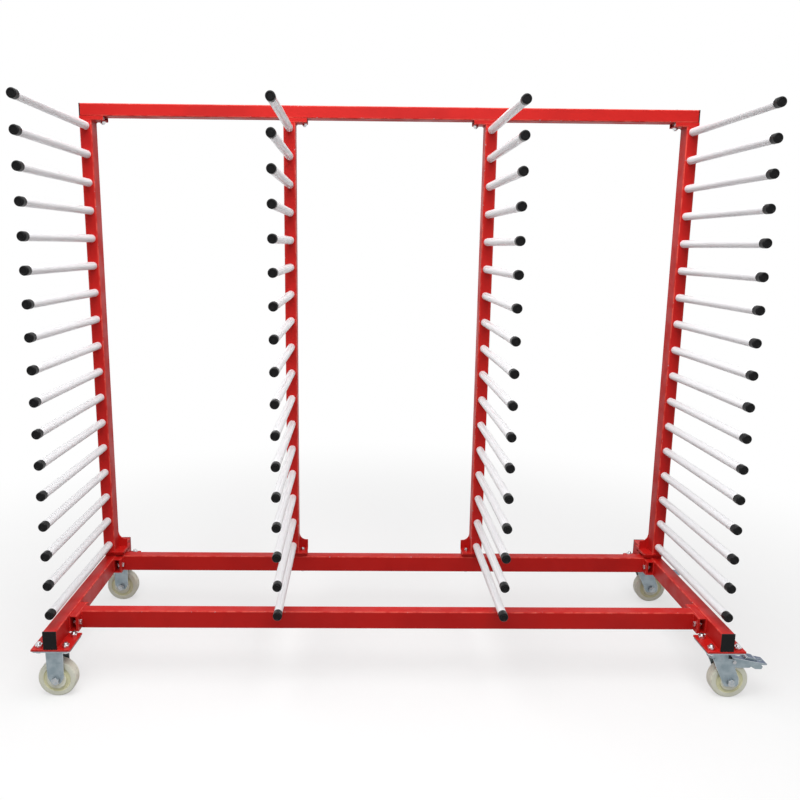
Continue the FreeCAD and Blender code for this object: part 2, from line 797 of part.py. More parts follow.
# Swivel casters on the right. The top plate carries the race cover, the king pin and the balls.
top_plate = new_body("swivel_plate_master")
top_plate_sketch = new_sketch(top_plate, "XY_Plane")
rectangle(top_plate_sketch, s.caster_plate_long, s.caster_plate_wide)
pad(top_plate, top_plate_sketch, s.caster_plate_thick, "One side")
cover_sketch = new_sketch(top_plate, "XY_Plane")
circle(cover_sketch, 0, 0, s.race_cover_diameter)
circle(cover_sketch, 0, 0, s.race_cover_diameter - s.sheet_thick * 2)
pad(top_plate, cover_sketch, s.race_cover_height, "One side", True)
doc.recompute()
drill(top_plate, "XY_Plane", bolt_corners, s.plate_bolt_hole)
drill(top_plate, "XY_Plane", [(0, 0)], s.king_pin_diameter)
doc.recompute()
crown_bottom = crown_top - s.fork_thick
king_pin = cylinder(s.king_pin_diameter, s.caster_height - crown_bottom + s.king_pin_head_height, -UP)
king_head = cylinder(s.king_pin_head, s.king_pin_head_height - s.ball_gap, -UP)
king_head.translate(FreeCAD.Vector(0, 0, -(s.caster_height - crown_bottom + s.ball_gap).number))
king_pin = king_pin.fuse(king_head).removeSplitter()
ball = Part.makeSphere(s.race_height.number / 2 - s.ball_gap.number)
top_plates = []
king_pins = []
balls = []
for name, y in CASTERS:
    top_plates.append(moved(top_plate.Shape, post_x, y, plate_bottom))
    king_pins.append(moved(king_pin, post_x, y, s.caster_height))
    for step in range(BALLS):
        angle = 2 * math.pi * step / BALLS
        ball_x = post_x + s.race_radius * math.cos(angle)
        ball_y = y + s.race_radius * math.sin(angle)
        balls.append(moved(ball, ball_x, ball_y, race_bottom + s.race_height / 2))
group("swivel_top_plates", top_plates)
group("swivel_king_pins", king_pins)
group("swivel_race_balls", balls)

# Brake pedal: a sheet channel that slopes down to its tip, pivoted between the legs of the fork.
# The lower edges are measured from the pivot; the round hump stiffens the middle.
slope = 0.2
pedal_start = s.pivot_ahead - 4.0


def pedal_top(x):
    """Height of the pedal's upper face at a distance from the swivel axis."""
    return s.pivot_height + 11.0 - (x - pedal_start) * slope


def pedal_point(ahead, drop):
    """Point at a distance ahead of the pivot and below the pedal's upper face."""
    x = s.pivot_ahead + ahead
    return (x, pedal_top(x) - drop)


tip = s.pedal_reach - s.pivot_ahead
for name, y in CASTERS:
    fork = new_body("swivel_fork_%s_right" % name)
    leg_sketch = new_sketch(fork, "XZ_Plane")
    end_half = s.swivel_leg_end / 2
    end_bottom = axle_height - s.swivel_leg_drop
    outline(leg_sketch, [
        (-s.swivel_leg_back, crown_top),
        (s.swivel_trail - end_half, axle_height - s.swivel_leg_drop * 0.3),
        (s.swivel_trail - end_half * 0.75, end_bottom),
        (s.swivel_trail + end_half * 0.75, end_bottom),
        (s.swivel_trail + end_half, axle_height - s.swivel_leg_drop * 0.5),
        (s.swivel_trail + end_half * 0.95, axle_height + s.swivel_leg_drop),
        (s.swivel_leg_front, crown_top),
    ])
    pad(fork, leg_sketch, fork_width)
    gap_sketch = new_sketch(fork, "YZ_Plane")
    fork_gap_outline(gap_sketch, crown_bottom)
    doc.recompute()
    pocket_through(fork, gap_sketch)
    crown_sketch = new_sketch(fork, "XY_Plane")
    circle(crown_sketch, 0, 0, s.crown_diameter)
    crown_sketch.setExpression("AttachmentOffset.Base.z", crown_top.text)
    pad(fork, crown_sketch, s.fork_thick, "One side", True)
    ring_sketch = new_sketch(fork, "XY_Plane")
    circle(ring_sketch, 0, 0, s.crown_ring_diameter)
    circle(ring_sketch, 0, 0, s.crown_ring_bore)
    ring_sketch.setExpression("AttachmentOffset.Base.z", crown_top.text)
    doc.recompute()
    pad(fork, ring_sketch, s.crown_ring_height, "One side")
    lug_sketch = new_sketch(fork, "XZ_Plane")
    leg_outline(
        lug_sketch, s.swivel_leg_front - 14.0, s.swivel_leg_front, crown_top,
        s.pivot_ahead, s.pivot_height, s.pivot_head * 0.7)
    doc.recompute()
    pad(fork, lug_sketch, fork_width)
    lug_gap = new_sketch(fork, "YZ_Plane")
    fork_gap_outline(lug_gap, crown_bottom)
    doc.recompute()
    pocket_through(fork, lug_gap)
    notch = new_sketch(fork, "XZ_Plane")
    outline(notch, [
        (pedal_start - 1.5, crown_bottom - 1.0),
        (s.pivot_ahead + s.pivot_head, crown_bottom - 1.0),
        (s.pivot_ahead + s.pivot_head, crown_top + 1.0),
        (pedal_start - 1.5, crown_top + 1.0),
    ])
    doc.recompute()
    notch_cut = pocket_through(fork, notch)
    notch_cut.Type = "Length"
    notch_cut.setExpression("Length", s.fork_gap.text)
    doc.recompute()
    drill(fork, "XY_Plane", [(0, 0)], s.king_pin_bore)
    drill(fork, "XZ_Plane", [(s.swivel_trail, axle_height)], s.axle_bore)
    drill(fork, "XZ_Plane", [(s.pivot_ahead, s.pivot_height)], s.pivot_diameter)
    place(fork, post_x, y, 0)
    keep(fork, "swivel_fork_%s_right" % name)

    bolt, nut = axle_pieces(post_x + s.swivel_trail, y, name == "rear")
    group("swivel_axle_%s_right" % name, [bolt, nut])

    pin = cylinder(s.pivot_diameter, fork_width, AWAY)
    for start in (-s.pedal_thick.number, fork_width.number):
        rivet = cylinder(s.pivot_head, s.pedal_thick, AWAY)
        rivet.translate(FreeCAD.Vector(0, start, 0))
        pin = pin.fuse(rivet)
    pin = pin.removeSplitter()
    group("brake_pin_%s_right" % name, [
        moved(pin, post_x + s.pivot_ahead, y - half_fork, s.pivot_height)])

    pedal = new_body("brake_pedal_%s_right" % name)
    pedal_sketch = new_sketch(pedal, "XZ_Plane")
    outline(pedal_sketch, [
        pedal_point(-4.0, 0.0),
        pedal_point(tip, 0.0),
        pedal_point(tip, 3.0),
        pedal_point(56.0, 8.0),
        pedal_point(44.0, 20.0),
        pedal_point(10.0, 27.0),
        pedal_point(-4.0, 20.0),
    ])
    pad(pedal, pedal_sketch, s.pedal_width)
    hump_sketch = new_sketch(pedal, "XZ_Plane")
    outline(hump_sketch, [
        pedal_point(32.0, s.pedal_thick / 2),
        pedal_point(70.0, s.pedal_thick / 2),
        pedal_point(62.0, -8.0),
        pedal_point(38.0, -8.0),
    ])
    doc.recompute()
    pad(pedal, hump_sketch, s.pedal_width * 0.6)
    hollow = new_sketch(pedal, "XZ_Plane")
    outline(hollow, [
        pedal_point(-6.0, s.pedal_thick),
        pedal_point(tip - 4.0, s.pedal_thick),
        pedal_point(tip - 4.0, 40.0),
        pedal_point(-6.0, 40.0),
    ])
    doc.recompute()
    cut = pocket_through(pedal, hollow)
    cut.Type = "Length"
    cut.setExpression("Length", (s.pedal_width - s.pedal_thick * 2).text)
    doc.recompute()
    drill(pedal, "XZ_Plane", [(s.pivot_ahead, s.pivot_height)], s.pivot_bore)
    place(pedal, post_x, y, 0)
    keep(pedal, "brake_pedal_%s_right" % name)

    shoe = new_body("brake_shoe_%s_right" % name)
    shoe_sketch = new_sketch(shoe, "XZ_Plane")
    outline(shoe_sketch, [
        pedal_point(12.0, s.pedal_thick),
        pedal_point(26.0, s.pedal_thick),
        pedal_point(32.0, 8.0),
        pedal_point(66.0, 9.0),
        pedal_point(78.0, 7.0),
        pedal_point(83.0, 12.0),
        pedal_point(80.0, 20.0),
        pedal_point(62.0, 23.0),
        pedal_point(50.0, 18.0),
        pedal_point(32.0, 14.0),
        pedal_point(22.0, 14.0),
        pedal_point(12.0, 14.0),
    ])
    pad(shoe, shoe_sketch, s.shoe_width)
    place(shoe, post_x, y, 0)
    keep(shoe, "brake_shoe_%s_right" % name)

# Wheels with a steel bush that turns on the axle.
wheel_places = []
for name, y in CASTERS:
    wheel_places.append((name + "_left", -post_x, y))
    wheel_places.append((name + "_right", post_x + s.swivel_trail, y))
for name, x, y in wheel_places:
    wheel = new_body("wheel_" + name)
    wheel_sketch = new_sketch(wheel, "YZ_Plane")
    half_hub = s.hub_width / 2
    half_web = s.web_thick / 2
    half_wheel = s.wheel_width / 2
    bore = s.bush_diameter / 2
    hub = s.hub_diameter / 2
    tread = s.wheel_diameter / 2
    rim = tread - s.rim_thick
    right_half = [
        (half_hub, bore),
        (half_hub, hub),
        (half_web, hub + 2.0),
        (half_web, rim - 2.0),
        (half_wheel, rim),
        (half_wheel, tread - s.tread_round),
        (half_wheel - s.tread_round * 0.3, tread - s.tread_round * 0.3),
        (half_wheel - s.tread_round, tread),
    ]
    left_half = [(-across, radius) for across, radius in reversed(right_half)]
    outline(wheel_sketch, right_half + left_half)
    revolve(wheel, wheel_sketch)
    place(wheel, x, y, axle_height)
    keep(wheel, "wheel_" + name)
    bush = new_body("wheel_bush_" + name)
    bush_sketch = new_sketch(bush, "XZ_Plane")
    circle(bush_sketch, 0, 0, s.bush_diameter - s.bush_gap * 2)
    circle(bush_sketch, 0, 0, s.axle_bore)
    pad(bush, bush_sketch, s.hub_width)
    place(bush, x, y, axle_height)
    keep(bush, "wheel_bush_" + name)

doc.recompute()
for item in doc.Objects:
    if "Invalid" in item.State or "Error" in item.State:
        raise RuntimeError("object in error: %s %s" % (item.Name, item.State))
os.makedirs("parts", exist_ok=True)
for item in nodes:
    if item.Shape.isNull() or not item.Shape.isValid():
        raise RuntimeError("bad shape: " + item.Label)
    item.Shape.exportStep("parts/%s.step" % item.Label)
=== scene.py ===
"""Panel drying rack on casters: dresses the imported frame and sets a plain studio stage."""

import json
import math

import bmesh
import bpy
from mathutils import Matrix, Vector


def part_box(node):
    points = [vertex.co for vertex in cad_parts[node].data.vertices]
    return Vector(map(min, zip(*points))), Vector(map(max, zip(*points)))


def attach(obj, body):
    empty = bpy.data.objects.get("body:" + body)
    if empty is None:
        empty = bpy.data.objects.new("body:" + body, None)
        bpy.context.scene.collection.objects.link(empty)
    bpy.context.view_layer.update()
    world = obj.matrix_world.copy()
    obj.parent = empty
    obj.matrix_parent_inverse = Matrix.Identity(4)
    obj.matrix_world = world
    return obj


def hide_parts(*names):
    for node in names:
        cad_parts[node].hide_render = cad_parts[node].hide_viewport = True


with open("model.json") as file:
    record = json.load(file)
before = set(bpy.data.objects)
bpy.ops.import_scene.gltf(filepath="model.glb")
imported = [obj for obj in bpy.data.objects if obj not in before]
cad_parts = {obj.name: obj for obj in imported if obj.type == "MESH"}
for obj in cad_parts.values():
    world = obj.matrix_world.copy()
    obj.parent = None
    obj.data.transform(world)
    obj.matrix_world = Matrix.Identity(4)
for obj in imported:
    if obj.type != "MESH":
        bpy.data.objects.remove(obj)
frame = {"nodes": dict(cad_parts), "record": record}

bl_info = {
    "name": "Panel Drying Rack",
    "version": (1, 0, 0),
    "blender": (4, 5, 0),
    "location": "3D View > Sidebar > Rack",
    "description": "Dresses the packed frame of a panel drying rack and sets its stage",
    "category": "Object",
}

ALONG = Vector((1.0, 0.0, 0.0))
AWAY = Vector((0.0, 1.0, 0.0))
UP = Vector((0.0, 0.0, 1.0))
WHITE = (1.0, 1.0, 1.0, 1.0)
SENSOR_WIDTH = 36.0
FLAT_WEIGHT = 80

# Distances in metres below which two places count as one
SAME_POINT = 1e-6
SAME_RING = 1e-5

# Cosines of two directions above which they count as one
SAME_WAY = 0.9
PARALLEL = 0.999

# Turns of an edge in radians above which it is rounded off or shaded sharp
SOFT_TURN = 0.6
WHEEL_TURN = 0.7
SHARP_TURN = 0.9
SHADE_TURN = math.radians(50)

# Small radii in metres
FINE_EDGE = 0.0003
SHEET_EDGE = 0.0004
CUT_EDGE = 0.0005
PLUG_EDGE = 0.0006
WHEEL_EDGE = 0.0009
PLATE_CORNER = 0.002
FORK_CORNER = 0.004
CASTER_PLATE_CORNER = 0.006
FINE_WELD = 0.0011
FORK_WELD = 0.0016

# Height in metres of the foot of a fork's leg, where its corners are rounded
FORK_FOOT = 0.030

# Distances in metres between the end of a weld bead and the end of its edge
CLOSE_INSET = 0.002
WELD_INSET = 0.003
PLATE_INSET = 0.006

POST_NAMES = ("left", "mid_left", "mid_right", "right")
SWIVEL_NAMES = ("front_right", "rear_right")
FIXED_NAMES = ("front_left", "rear_left")
TUBE_NODES = (
    "side_rail_left", "side_rail_right", "front_cross_rail", "rear_cross_rail", "top_rail",
    *("post_" + name for name in POST_NAMES),
)
BODY_OF = {
    node: body
    for body, members in frame["record"]["behaviour"]["bodies"].items()
    for node in members
}
MIDDLE_X = sum(corner.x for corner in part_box("top_rail")) / 2


def length(name, description, default):
    return bpy.props.FloatProperty(
        name=name, description=description, default=default,
        min=0.0, precision=4, unit="LENGTH", subtype="DISTANCE",
    )


def colour(name, description, default):
    return bpy.props.FloatVectorProperty(
        name=name, description=description, default=default,
        min=0.0, max=1.0, size=3, subtype="COLOR",
    )


class RackSizes(bpy.types.PropertyGroup):
    """Sizes of the details that the dressed pieces add to the frame."""

    tube_round: length("Tube corner", "Outer corner radius of the steel tubes", 0.003)
    tube_wall: length("Tube wall", "Wall thickness of the steel tubes", 0.0025)
    plate_round: length("Plate edge", "Rounding along the edges of plates and sheets", 0.0007)
    sheet_thick: length("Sheet", "Thickness of the bent sheet pieces of the frame", 0.003)
    weld_radius: length("Weld bead", "Radius of the weld beads", 0.0026)
    weld_ripple: length("Weld ripple", "Distance between the ripples of a weld bead", 0.0034)
    plug_flange: length("Plug flange", "Thickness of the plug outside the tube", 0.004)
    cap_end_round: length("Cap round", "Rounding of the closed end of an arm cap", 0.0032)
    cap_end_wall: length("Cap end", "Thickness of the closed end of an arm cap", 0.003)
    sleeve_wall: length("Sleeve wall", "Wall of the sleeve on an arm", 0.0015)
    bolt_diameter: length("Bolt", "Thread diameter of the frame bolts", 0.008)
    hex_flats: length("Hex", "Width across the flats of the frame bolts and nuts", 0.013)
    hex_head: length("Bolt head", "Height of the hexagon heads of the frame bolts", 0.0053)
    plate_bolt: length("Plate bolt", "Thread diameter of the bolts of the caster plates", 0.010)
    plate_hex: length("Plate hex", "Width across the flats of the caster plates' bolts", 0.017)
    plate_head: length("Plate bolt head", "Height of the heads of the caster plates' bolts", 0.0064)
    dome_height: length("Dome", "Height of the round heads on the top rail", 0.0045)
    dome_diameter: length("Dome width", "Diameter of the round heads on the top rail", 0.017)
    thread_pitch: length("Thread", "Distance between the ridges of a thread", 0.00125)
    axle_diameter: length("Axle", "Diameter of the caster axles", 0.012)
    axle_flats: length("Axle hex", "Width across the flats of the axle heads and nuts", 0.019)
    axle_head: length("Axle head", "Height of the axle heads", 0.0075)
    plate_thick: length("Caster plate", "Thickness of the top plate of a caster", 0.004)
    fork_gap: length("Fork gap", "Clear width between the legs of a fork", 0.042)
    fork_thick: length("Fork sheet", "Thickness of the fork sheet", 0.003)
    fixed_leg_width: length("Fixed leg", "Width of a fixed fork's leg at the plate", 0.046)
    fixed_leg_end: length("Fixed leg end", "Width of a fixed fork's leg at its lower edge", 0.023)
    fixed_leg_drop: length("Fixed leg drop", "Depth of a fixed fork's leg below the axle", 0.010)
    swivel_leg_back: length("Swivel leg back", "Reach of a swivel leg behind the swivel axis", 0.024)
    swivel_leg_front: length("Swivel leg front", "Reach of a swivel leg ahead of the axis", 0.020)
    swivel_leg_end: length("Swivel leg end", "Width of a swivel leg at the axle", 0.042)
    swivel_leg_drop: length("Swivel leg drop", "Depth of a swivel leg below the axle", 0.013)
    crown_ring_diameter: length("Crown ring", "Diameter of the ring under the ball race", 0.054)
    crown_ring_bore: length("Crown ring bore", "Bore of the ring under the ball race", 0.036)
    crown_ring_height: length("Crown ring height", "Height of the ring under the ball race", 0.017)
    crown_diameter: length("Crown", "Diameter of the crown of a swivel fork", 0.058)
    cover_diameter: length("Race cover", "Diameter of the cover round the ball race", 0.064)
    cover_height: length("Race cover height", "Height of the cover round the ball race", 0.005)
    hub_diameter: length("Hub", "Diameter of the hub of a wheel", 0.050)
    web_thick: length("Web", "Thickness of the thin part of a wheel", 0.024)
    rim_thick: length("Rim", "Depth of the rim of a wheel", 0.014)
    wheel_width: length("Wheel", "Width of the tread of a wheel", 0.032)
    tread_round: length("Tread round", "Rounding at the sides of the tread", 0.005)
    pedal_thick: length("Pedal sheet", "Thickness of the brake pedal's sheet", 0.002)
    pedal_start: length("Pedal start", "Reach of the pedal behind its pivot", 0.004)
    pedal_slope: bpy.props.FloatProperty(
        name="Pedal slope", description="Fall of the pedal for each unit of length",
        default=0.2, min=0.0, max=1.0,
    )


class RackColours(bpy.types.PropertyGroup):
    """Colours of the finishes."""

    paint: colour("Paint", "Red gloss paint of the frame", (0.60, 0.013, 0.010))
    paint_deep: colour("Deep paint", "Darker patches of the paint", (0.46, 0.008, 0.007))
    # Lighter red of the edge strips: paint running thin over the edges, and also a painted highlight along
    # them
    paint_thin_and_highlight: colour("Thin paint", "Paint where it runs thin over an edge", (0.80, 0.090, 0.066))
    sleeve: colour("Sleeve", "White plastic of the sleeves", (0.96, 0.96, 0.98))
    sleeve_scuff: colour("Scuff", "Grey rub marks on the sleeves", (0.70, 0.70, 0.72))
    black: colour("Black", "Black plastic of the caps and plugs", (0.0022, 0.0022, 0.0026))
    black_rubbed: colour("Rubbed black", "Worn places of the black plastic", (0.011, 0.011, 0.012))
    zinc: colour("Zinc", "Pressed steel of the casters", (0.33, 0.385, 0.415))
    zinc_dull: colour("Dull zinc", "Clouded places of the pressed steel", (0.235, 0.29, 0.32))
    # Dark blue on the upward faces of the brake pedals is a painted dark reflection, not a passivation
    zinc_dark_reflection: colour("Blue zinc", "Blue passivation on top of the brake pedals", (0.13, 0.16, 0.24))
    bolt: colour("Bolt", "Bright zinc of bolts and nuts", (0.68, 0.70, 0.72))
    bolt_dull: colour("Dull bolt", "Stained places of bolts and nuts", (0.44, 0.45, 0.46))
    steel: colour("Steel", "Bare steel of pins, balls and bushes", (0.42, 0.42, 0.43))
    wheel: colour("Wheel", "Ivory plastic of the wheels", (0.94, 0.94, 0.80))
    # Yellower colour for random tone, and for a painted shade on the recessed web
    wheel_tone_and_web_shade: colour("Wheel web", "Yellowed plastic of the thin part", (0.84, 0.82, 0.55))
    wheel_dirt: colour("Wheel dirt", "Floor dirt on the tread", (0.52, 0.50, 0.42))
    floor: colour("Floor", "Pale studio floor", (0.95, 0.95, 0.95))
    floor_bounce: colour("Floor bounce", "Light that the floor gives back to the rack", (0.32, 0.32, 0.32))


class RackStage(bpy.types.PropertyGroup):
    """Camera and lamps."""

    camera_place: bpy.props.FloatVectorProperty(
        name="Camera", description="Place of the camera", default=(-0.1231, -2.2351, 1.1835),
        size=3, unit="LENGTH", subtype="TRANSLATION",
    )
    camera_turn: bpy.props.FloatVectorProperty(
        name="Camera turn", description="Pitch, roll and yaw of the camera from a level view along +Y",
        default=(-0.1917, -0.0094, -0.0126), size=3, unit="ROTATION", subtype="EULER",
    )
    lens: bpy.props.FloatProperty(
        name="Lens", description="Focal length on a 36 mm sensor", default=35.55, unit="CAMERA",
    )
    shift: bpy.props.FloatProperty(
        name="Shift", description="Sideways shift of the frame", default=0.0389,
    )
    ambient: bpy.props.FloatProperty(
        name="Ambient", description="Light from all round", default=0.33, min=0.0,
    )
    overhead: bpy.props.FloatProperty(
        name="Overhead", description="Power of the lamp above", default=85.0, min=0.0, unit="POWER",
    )
    front: bpy.props.FloatProperty(
        name="Front", description="Power of the lamp in front", default=22.0, min=0.0, unit="POWER",
    )


def sizes():
    return bpy.context.scene.rack_sizes


def colours():
    return bpy.context.scene.rack_colours


# Finishes

class Finish:
    """A material under construction: a principled surface on object coordinates."""

    def __init__(self, name):
        self.material = bpy.data.materials.new(name)
        self.material.use_nodes = True
        self.tree = self.material.node_tree
        self.tree.nodes.clear()
        self.surface = self.add("ShaderNodeBsdfPrincipled")
        self.output = self.add("ShaderNodeOutputMaterial")
        self.link(self.surface.outputs["BSDF"], self.output.inputs["Surface"])
        self.place = self.add("ShaderNodeTexCoord").outputs["Object"]

    def add(self, kind):
        return self.tree.nodes.new(kind)

    def link(self, source, target):
        self.tree.links.new(source, target)

    def set(self, **values):
        for name, value in values.items():
            self.surface.inputs[name.replace("_", " ")].default_value = value

    def noise(self, scale, detail=3.0, stretch=(1.0, 1.0, 1.0)):
        """Cloudy pattern with about that many features in a metre, stretched along the axes."""
        mapping = self.add("ShaderNodeMapping")
        mapping.inputs["Scale"].default_value = stretch
        self.link(self.place, mapping.inputs["Vector"])
        texture = self.add("ShaderNodeTexNoise")
        texture.inputs["Scale"].default_value = scale
        texture.inputs["Detail"].default_value = detail
        self.link(mapping.outputs["Vector"], texture.inputs["Vector"])
        return texture.outputs["Fac"]

    def mark(self, name):
        """The piece's own face marks."""
        attribute = self.add("ShaderNodeAttribute")
        attribute.attribute_name = name
        return attribute.outputs["Fac"]

    def spread(self, value, low, high, start=0.0, stop=1.0):
        """Map a value from low..high onto start..stop."""
        spread = self.add("ShaderNodeMapRange")
        spread.interpolation_type = "SMOOTHSTEP"
        self.link(value, spread.inputs["Value"])
        for name, amount in zip(("From Min", "From Max", "To Min", "To Max"), (low, high, start, stop)):
            spread.inputs[name].default_value = amount
        return spread.outputs["Result"]

    def math(self, operation, first, second):
        node = self.add("ShaderNodeMath")
        node.operation = operation
        for value, socket in zip((first, second), node.inputs):
            if isinstance(value, float):
                socket.default_value = value
            else:
                self.link(value, socket)
        return node.outputs["Value"]

    def mix(self, factor, first, second):
        """Blend two colours, each a colour or the output of another blend."""
        node = self.add("ShaderNodeMix")
        node.data_type = "RGBA"
        self.link(factor, node.inputs[0])
        for value, socket in ((first, node.inputs[6]), (second, node.inputs[7])):
            if isinstance(value, bpy.types.NodeSocket):
                self.link(value, socket)
            else:
                socket.default_value = (*value, 1.0)
        return node.outputs[2]

    def bump(self, height, strength, distance):
        node = self.add("ShaderNodeBump")
        node.inputs["Strength"].default_value = strength
        node.inputs["Distance"].default_value = distance
        self.link(height, node.inputs["Height"])
        self.link(node.outputs["Normal"], self.surface.inputs["Normal"])

    def paint(self, base, roughness):
        self.link(base, self.surface.inputs["Base Color"])
        self.link(roughness, self.surface.inputs["Roughness"])
        return self.material


def red_paint():
    """Brushed-on gloss enamel: slight patches, orange peel, thin and chipped along the edges, where a
    painted highlight also lightens the paint.
    """
    c = colours()
    finish = Finish("red_gloss_paint")
    finish.set(Specular_IOR_Level=0.20)
    patches = finish.spread(finish.noise(5.0, 4.0), 0.42, 0.68, 0.0, 0.55)
    base = finish.mix(patches, c.paint, c.paint_deep)
    edge = finish.mark("edge_mark")
    # Edge strips turn lighter: thin paint, and a painted highlight along the edges
    thin = finish.math("MULTIPLY", edge, finish.spread(finish.noise(40.0, 4.0), 0.36, 0.62, 0.15, 0.9))
    base = finish.mix(thin, base, c.paint_thin_and_highlight)
    chips = finish.math("MULTIPLY", edge, finish.spread(finish.noise(110.0, 5.0), 0.66, 0.70, 0.0, 0.7))
    base = finish.mix(chips, base, c.steel)
    dust = finish.spread(finish.noise(24.0, 7.0), 0.56, 0.74, 0.0, 0.22)
    base = finish.mix(dust, base, c.paint_deep)
    roughness = finish.spread(finish.noise(18.0, 5.0), 0.30, 0.72, 0.40, 0.58)
    finish.bump(finish.noise(330.0, 2.0), 0.10, 0.0007)
    return finish.paint(base, roughness)


def white_sleeve():
    """Hard white plastic tube with faint lengthwise rub marks."""
    c = colours()
    finish = Finish("white_sleeve_plastic")
    finish.set(Specular_IOR_Level=0.45)
    tone = finish.spread(finish.noise(7.0, 3.0), 0.30, 0.75, 0.0, 0.10)
    base = finish.mix(tone, c.sleeve, c.sleeve_scuff)
    rubs = finish.noise(1.0, 2.0, (190.0, 6.0, 190.0))
    worn = finish.spread(finish.noise(9.0, 2.0), 0.48, 0.64)
    marks = finish.math("MULTIPLY", finish.spread(rubs, 0.58, 0.74, 0.0, 0.20), worn)
    base = finish.mix(marks, base, c.sleeve_scuff)
    roughness = finish.spread(rubs, 0.35, 0.75, 0.26, 0.48)
    finish.bump(finish.noise(1.0, 1.0, (420.0, 10.0, 420.0)), 0.04, 0.0004)
    return finish.paint(base, roughness)


def black_plastic():
    """Moulded black plastic: fine grain, grey where it has been rubbed."""
    c = colours()
    finish = Finish("black_moulded_plastic")
    finish.set(Specular_IOR_Level=0.16)
    rubbed = finish.spread(finish.noise(120.0, 6.0), 0.54, 0.72, 0.0, 0.7)
    edge = finish.math("MULTIPLY", finish.mark("edge_mark"), 0.35)
    base = finish.mix(finish.math("MAXIMUM", rubbed, edge), c.black, c.black_rubbed)
    roughness = finish.spread(finish.noise(60.0, 4.0), 0.30, 0.70, 0.26, 0.44)
    finish.bump(finish.noise(1400.0, 2.0), 0.16, 0.0004)
    return finish.paint(base, roughness)


def pressed_zinc():
    """Zinc plated pressed steel: clouded, a little blue, with rolling streaks, a painted highlight along
    its edges and a painted dark reflection on the tops of the brake pedals.
    """
    c = colours()
    finish = Finish("pressed_zinc")
    finish.set(Metallic=1.0)
    clouds = finish.spread(finish.noise(42.0, 6.0), 0.34, 0.68)
    streaks = finish.spread(finish.noise(1.0, 4.0, (35.0, 35.0, 420.0)), 0.45, 0.75, 0.0, 0.5)
    base = finish.mix(clouds, c.zinc, c.zinc_dull)
    base = finish.mix(streaks, base, c.zinc_dull)
    # Upward faces of the pedals turn dark blue: a painted dark reflection
    base = finish.mix(finish.math("MULTIPLY", finish.mark("shade_and_reflection_mark"), 0.9), base, c.zinc_dark_reflection)
    # Bevelled edges take the bright bolt colour: a painted highlight along the edges
    edge = finish.math("MULTIPLY", finish.mark("edge_mark"), 0.6)
    base = finish.mix(edge, base, c.bolt)
    roughness = finish.spread(finish.noise(75.0, 5.0), 0.30, 0.72, 0.34, 0.56)
    finish.bump(finish.noise(700.0, 3.0), 0.08, 0.0004)
    return finish.paint(base, roughness)


def bright_zinc():
    """Bright zinc of the fasteners, stained in places."""
    c = colours()
    finish = Finish("bright_zinc")
    finish.set(Metallic=1.0)
    stains = finish.spread(finish.noise(190.0, 5.0), 0.44, 0.70, 0.0, 0.85)
    base = finish.mix(stains, c.bolt, c.bolt_dull)
    roughness = finish.spread(finish.noise(240.0, 4.0), 0.30, 0.70, 0.16, 0.36)
    finish.bump(finish.noise(1500.0, 2.0), 0.06, 0.0003)
    return finish.paint(base, roughness)


def axle_zinc():
    """Dull zinc of the axle bolts and their nuts, clouded by handling."""
    c = colours()
    finish = Finish("axle_zinc")
    finish.set(Metallic=1.0)
    clouds = finish.spread(finish.noise(150.0, 4.0), 0.40, 0.70)
    base = finish.mix(clouds, c.bolt_dull, c.zinc)
    roughness = finish.spread(finish.noise(200.0, 4.0), 0.30, 0.70, 0.38, 0.56)
    finish.bump(finish.noise(1200.0, 2.0), 0.06, 0.0003)
    return finish.paint(base, roughness)


def plain_steel():
    """Bare drawn steel with fine lines along its length."""
    c = colours()
    finish = Finish("plain_steel")
    finish.set(Metallic=1.0)
    lines = finish.noise(1.0, 4.0, (900.0, 30.0, 900.0))
    base = finish.mix(finish.spread(lines, 0.35, 0.70), c.steel, c.bolt_dull)
    roughness = finish.spread(lines, 0.30, 0.70, 0.26, 0.46)
    finish.bump(lines, 0.06, 0.0003)
    return finish.paint(base, roughness)


def nylon():
    """Ivory plastic of the wheels: random tone, a painted yellowish shade on the recessed thin web, dirty
    on the tread.
    """
    c = colours()
    finish = Finish("ivory_nylon")
    finish.set(Specular_IOR_Level=0.42)
    tone = finish.spread(finish.noise(30.0, 4.0), 0.34, 0.70, 0.0, 0.22)
    base = finish.mix(tone, c.wheel, c.wheel_tone_and_web_shade)
    # The recessed thin web turns yellower and darker: a painted shade
    base = finish.mix(finish.math("MULTIPLY", finish.mark("shade_and_reflection_mark"), 0.85), base, c.wheel_tone_and_web_shade)
    dirt = finish.spread(finish.noise(150.0, 7.0), 0.50, 0.70, 0.05, 0.45)
    base = finish.mix(finish.math("MULTIPLY", finish.mark("tread_mark"), dirt), base, c.wheel_dirt)
    roughness = finish.spread(finish.noise(80.0, 4.0), 0.30, 0.70, 0.34, 0.52)
    finish.bump(finish.noise(420.0, 3.0), 0.07, 0.0005)
    return finish.paint(base, roughness)


FINISHES = {
    "red_paint": red_paint,
    "white_sleeve": white_sleeve,
    "black_plastic": black_plastic,
    "pressed_zinc": pressed_zinc,
    "bright_zinc": bright_zinc,
    "axle_zinc": axle_zinc,
    "plain_steel": plain_steel,
    "nylon": nylon,
}
mixed = {}


def finish_for(name):
    """The material of a finish, made on first use."""
    if name not in mixed:
        mixed[name] = FINISHES[name]()
    return mixed[name]


# Shaping

def new_mesh():
    """Empty mesh with the face marks that the finishes look for."""
    mesh = bmesh.new()
    for name in ("edge_mark", "shade_and_reflection_mark", "tread_mark"):
        mesh.faces.layers.float.new(name)
    return mesh


def mark_faces(mesh, name, faces):
    layer = mesh.faces.layers.float[name]
    for face in faces:
        face[layer] = 1.0


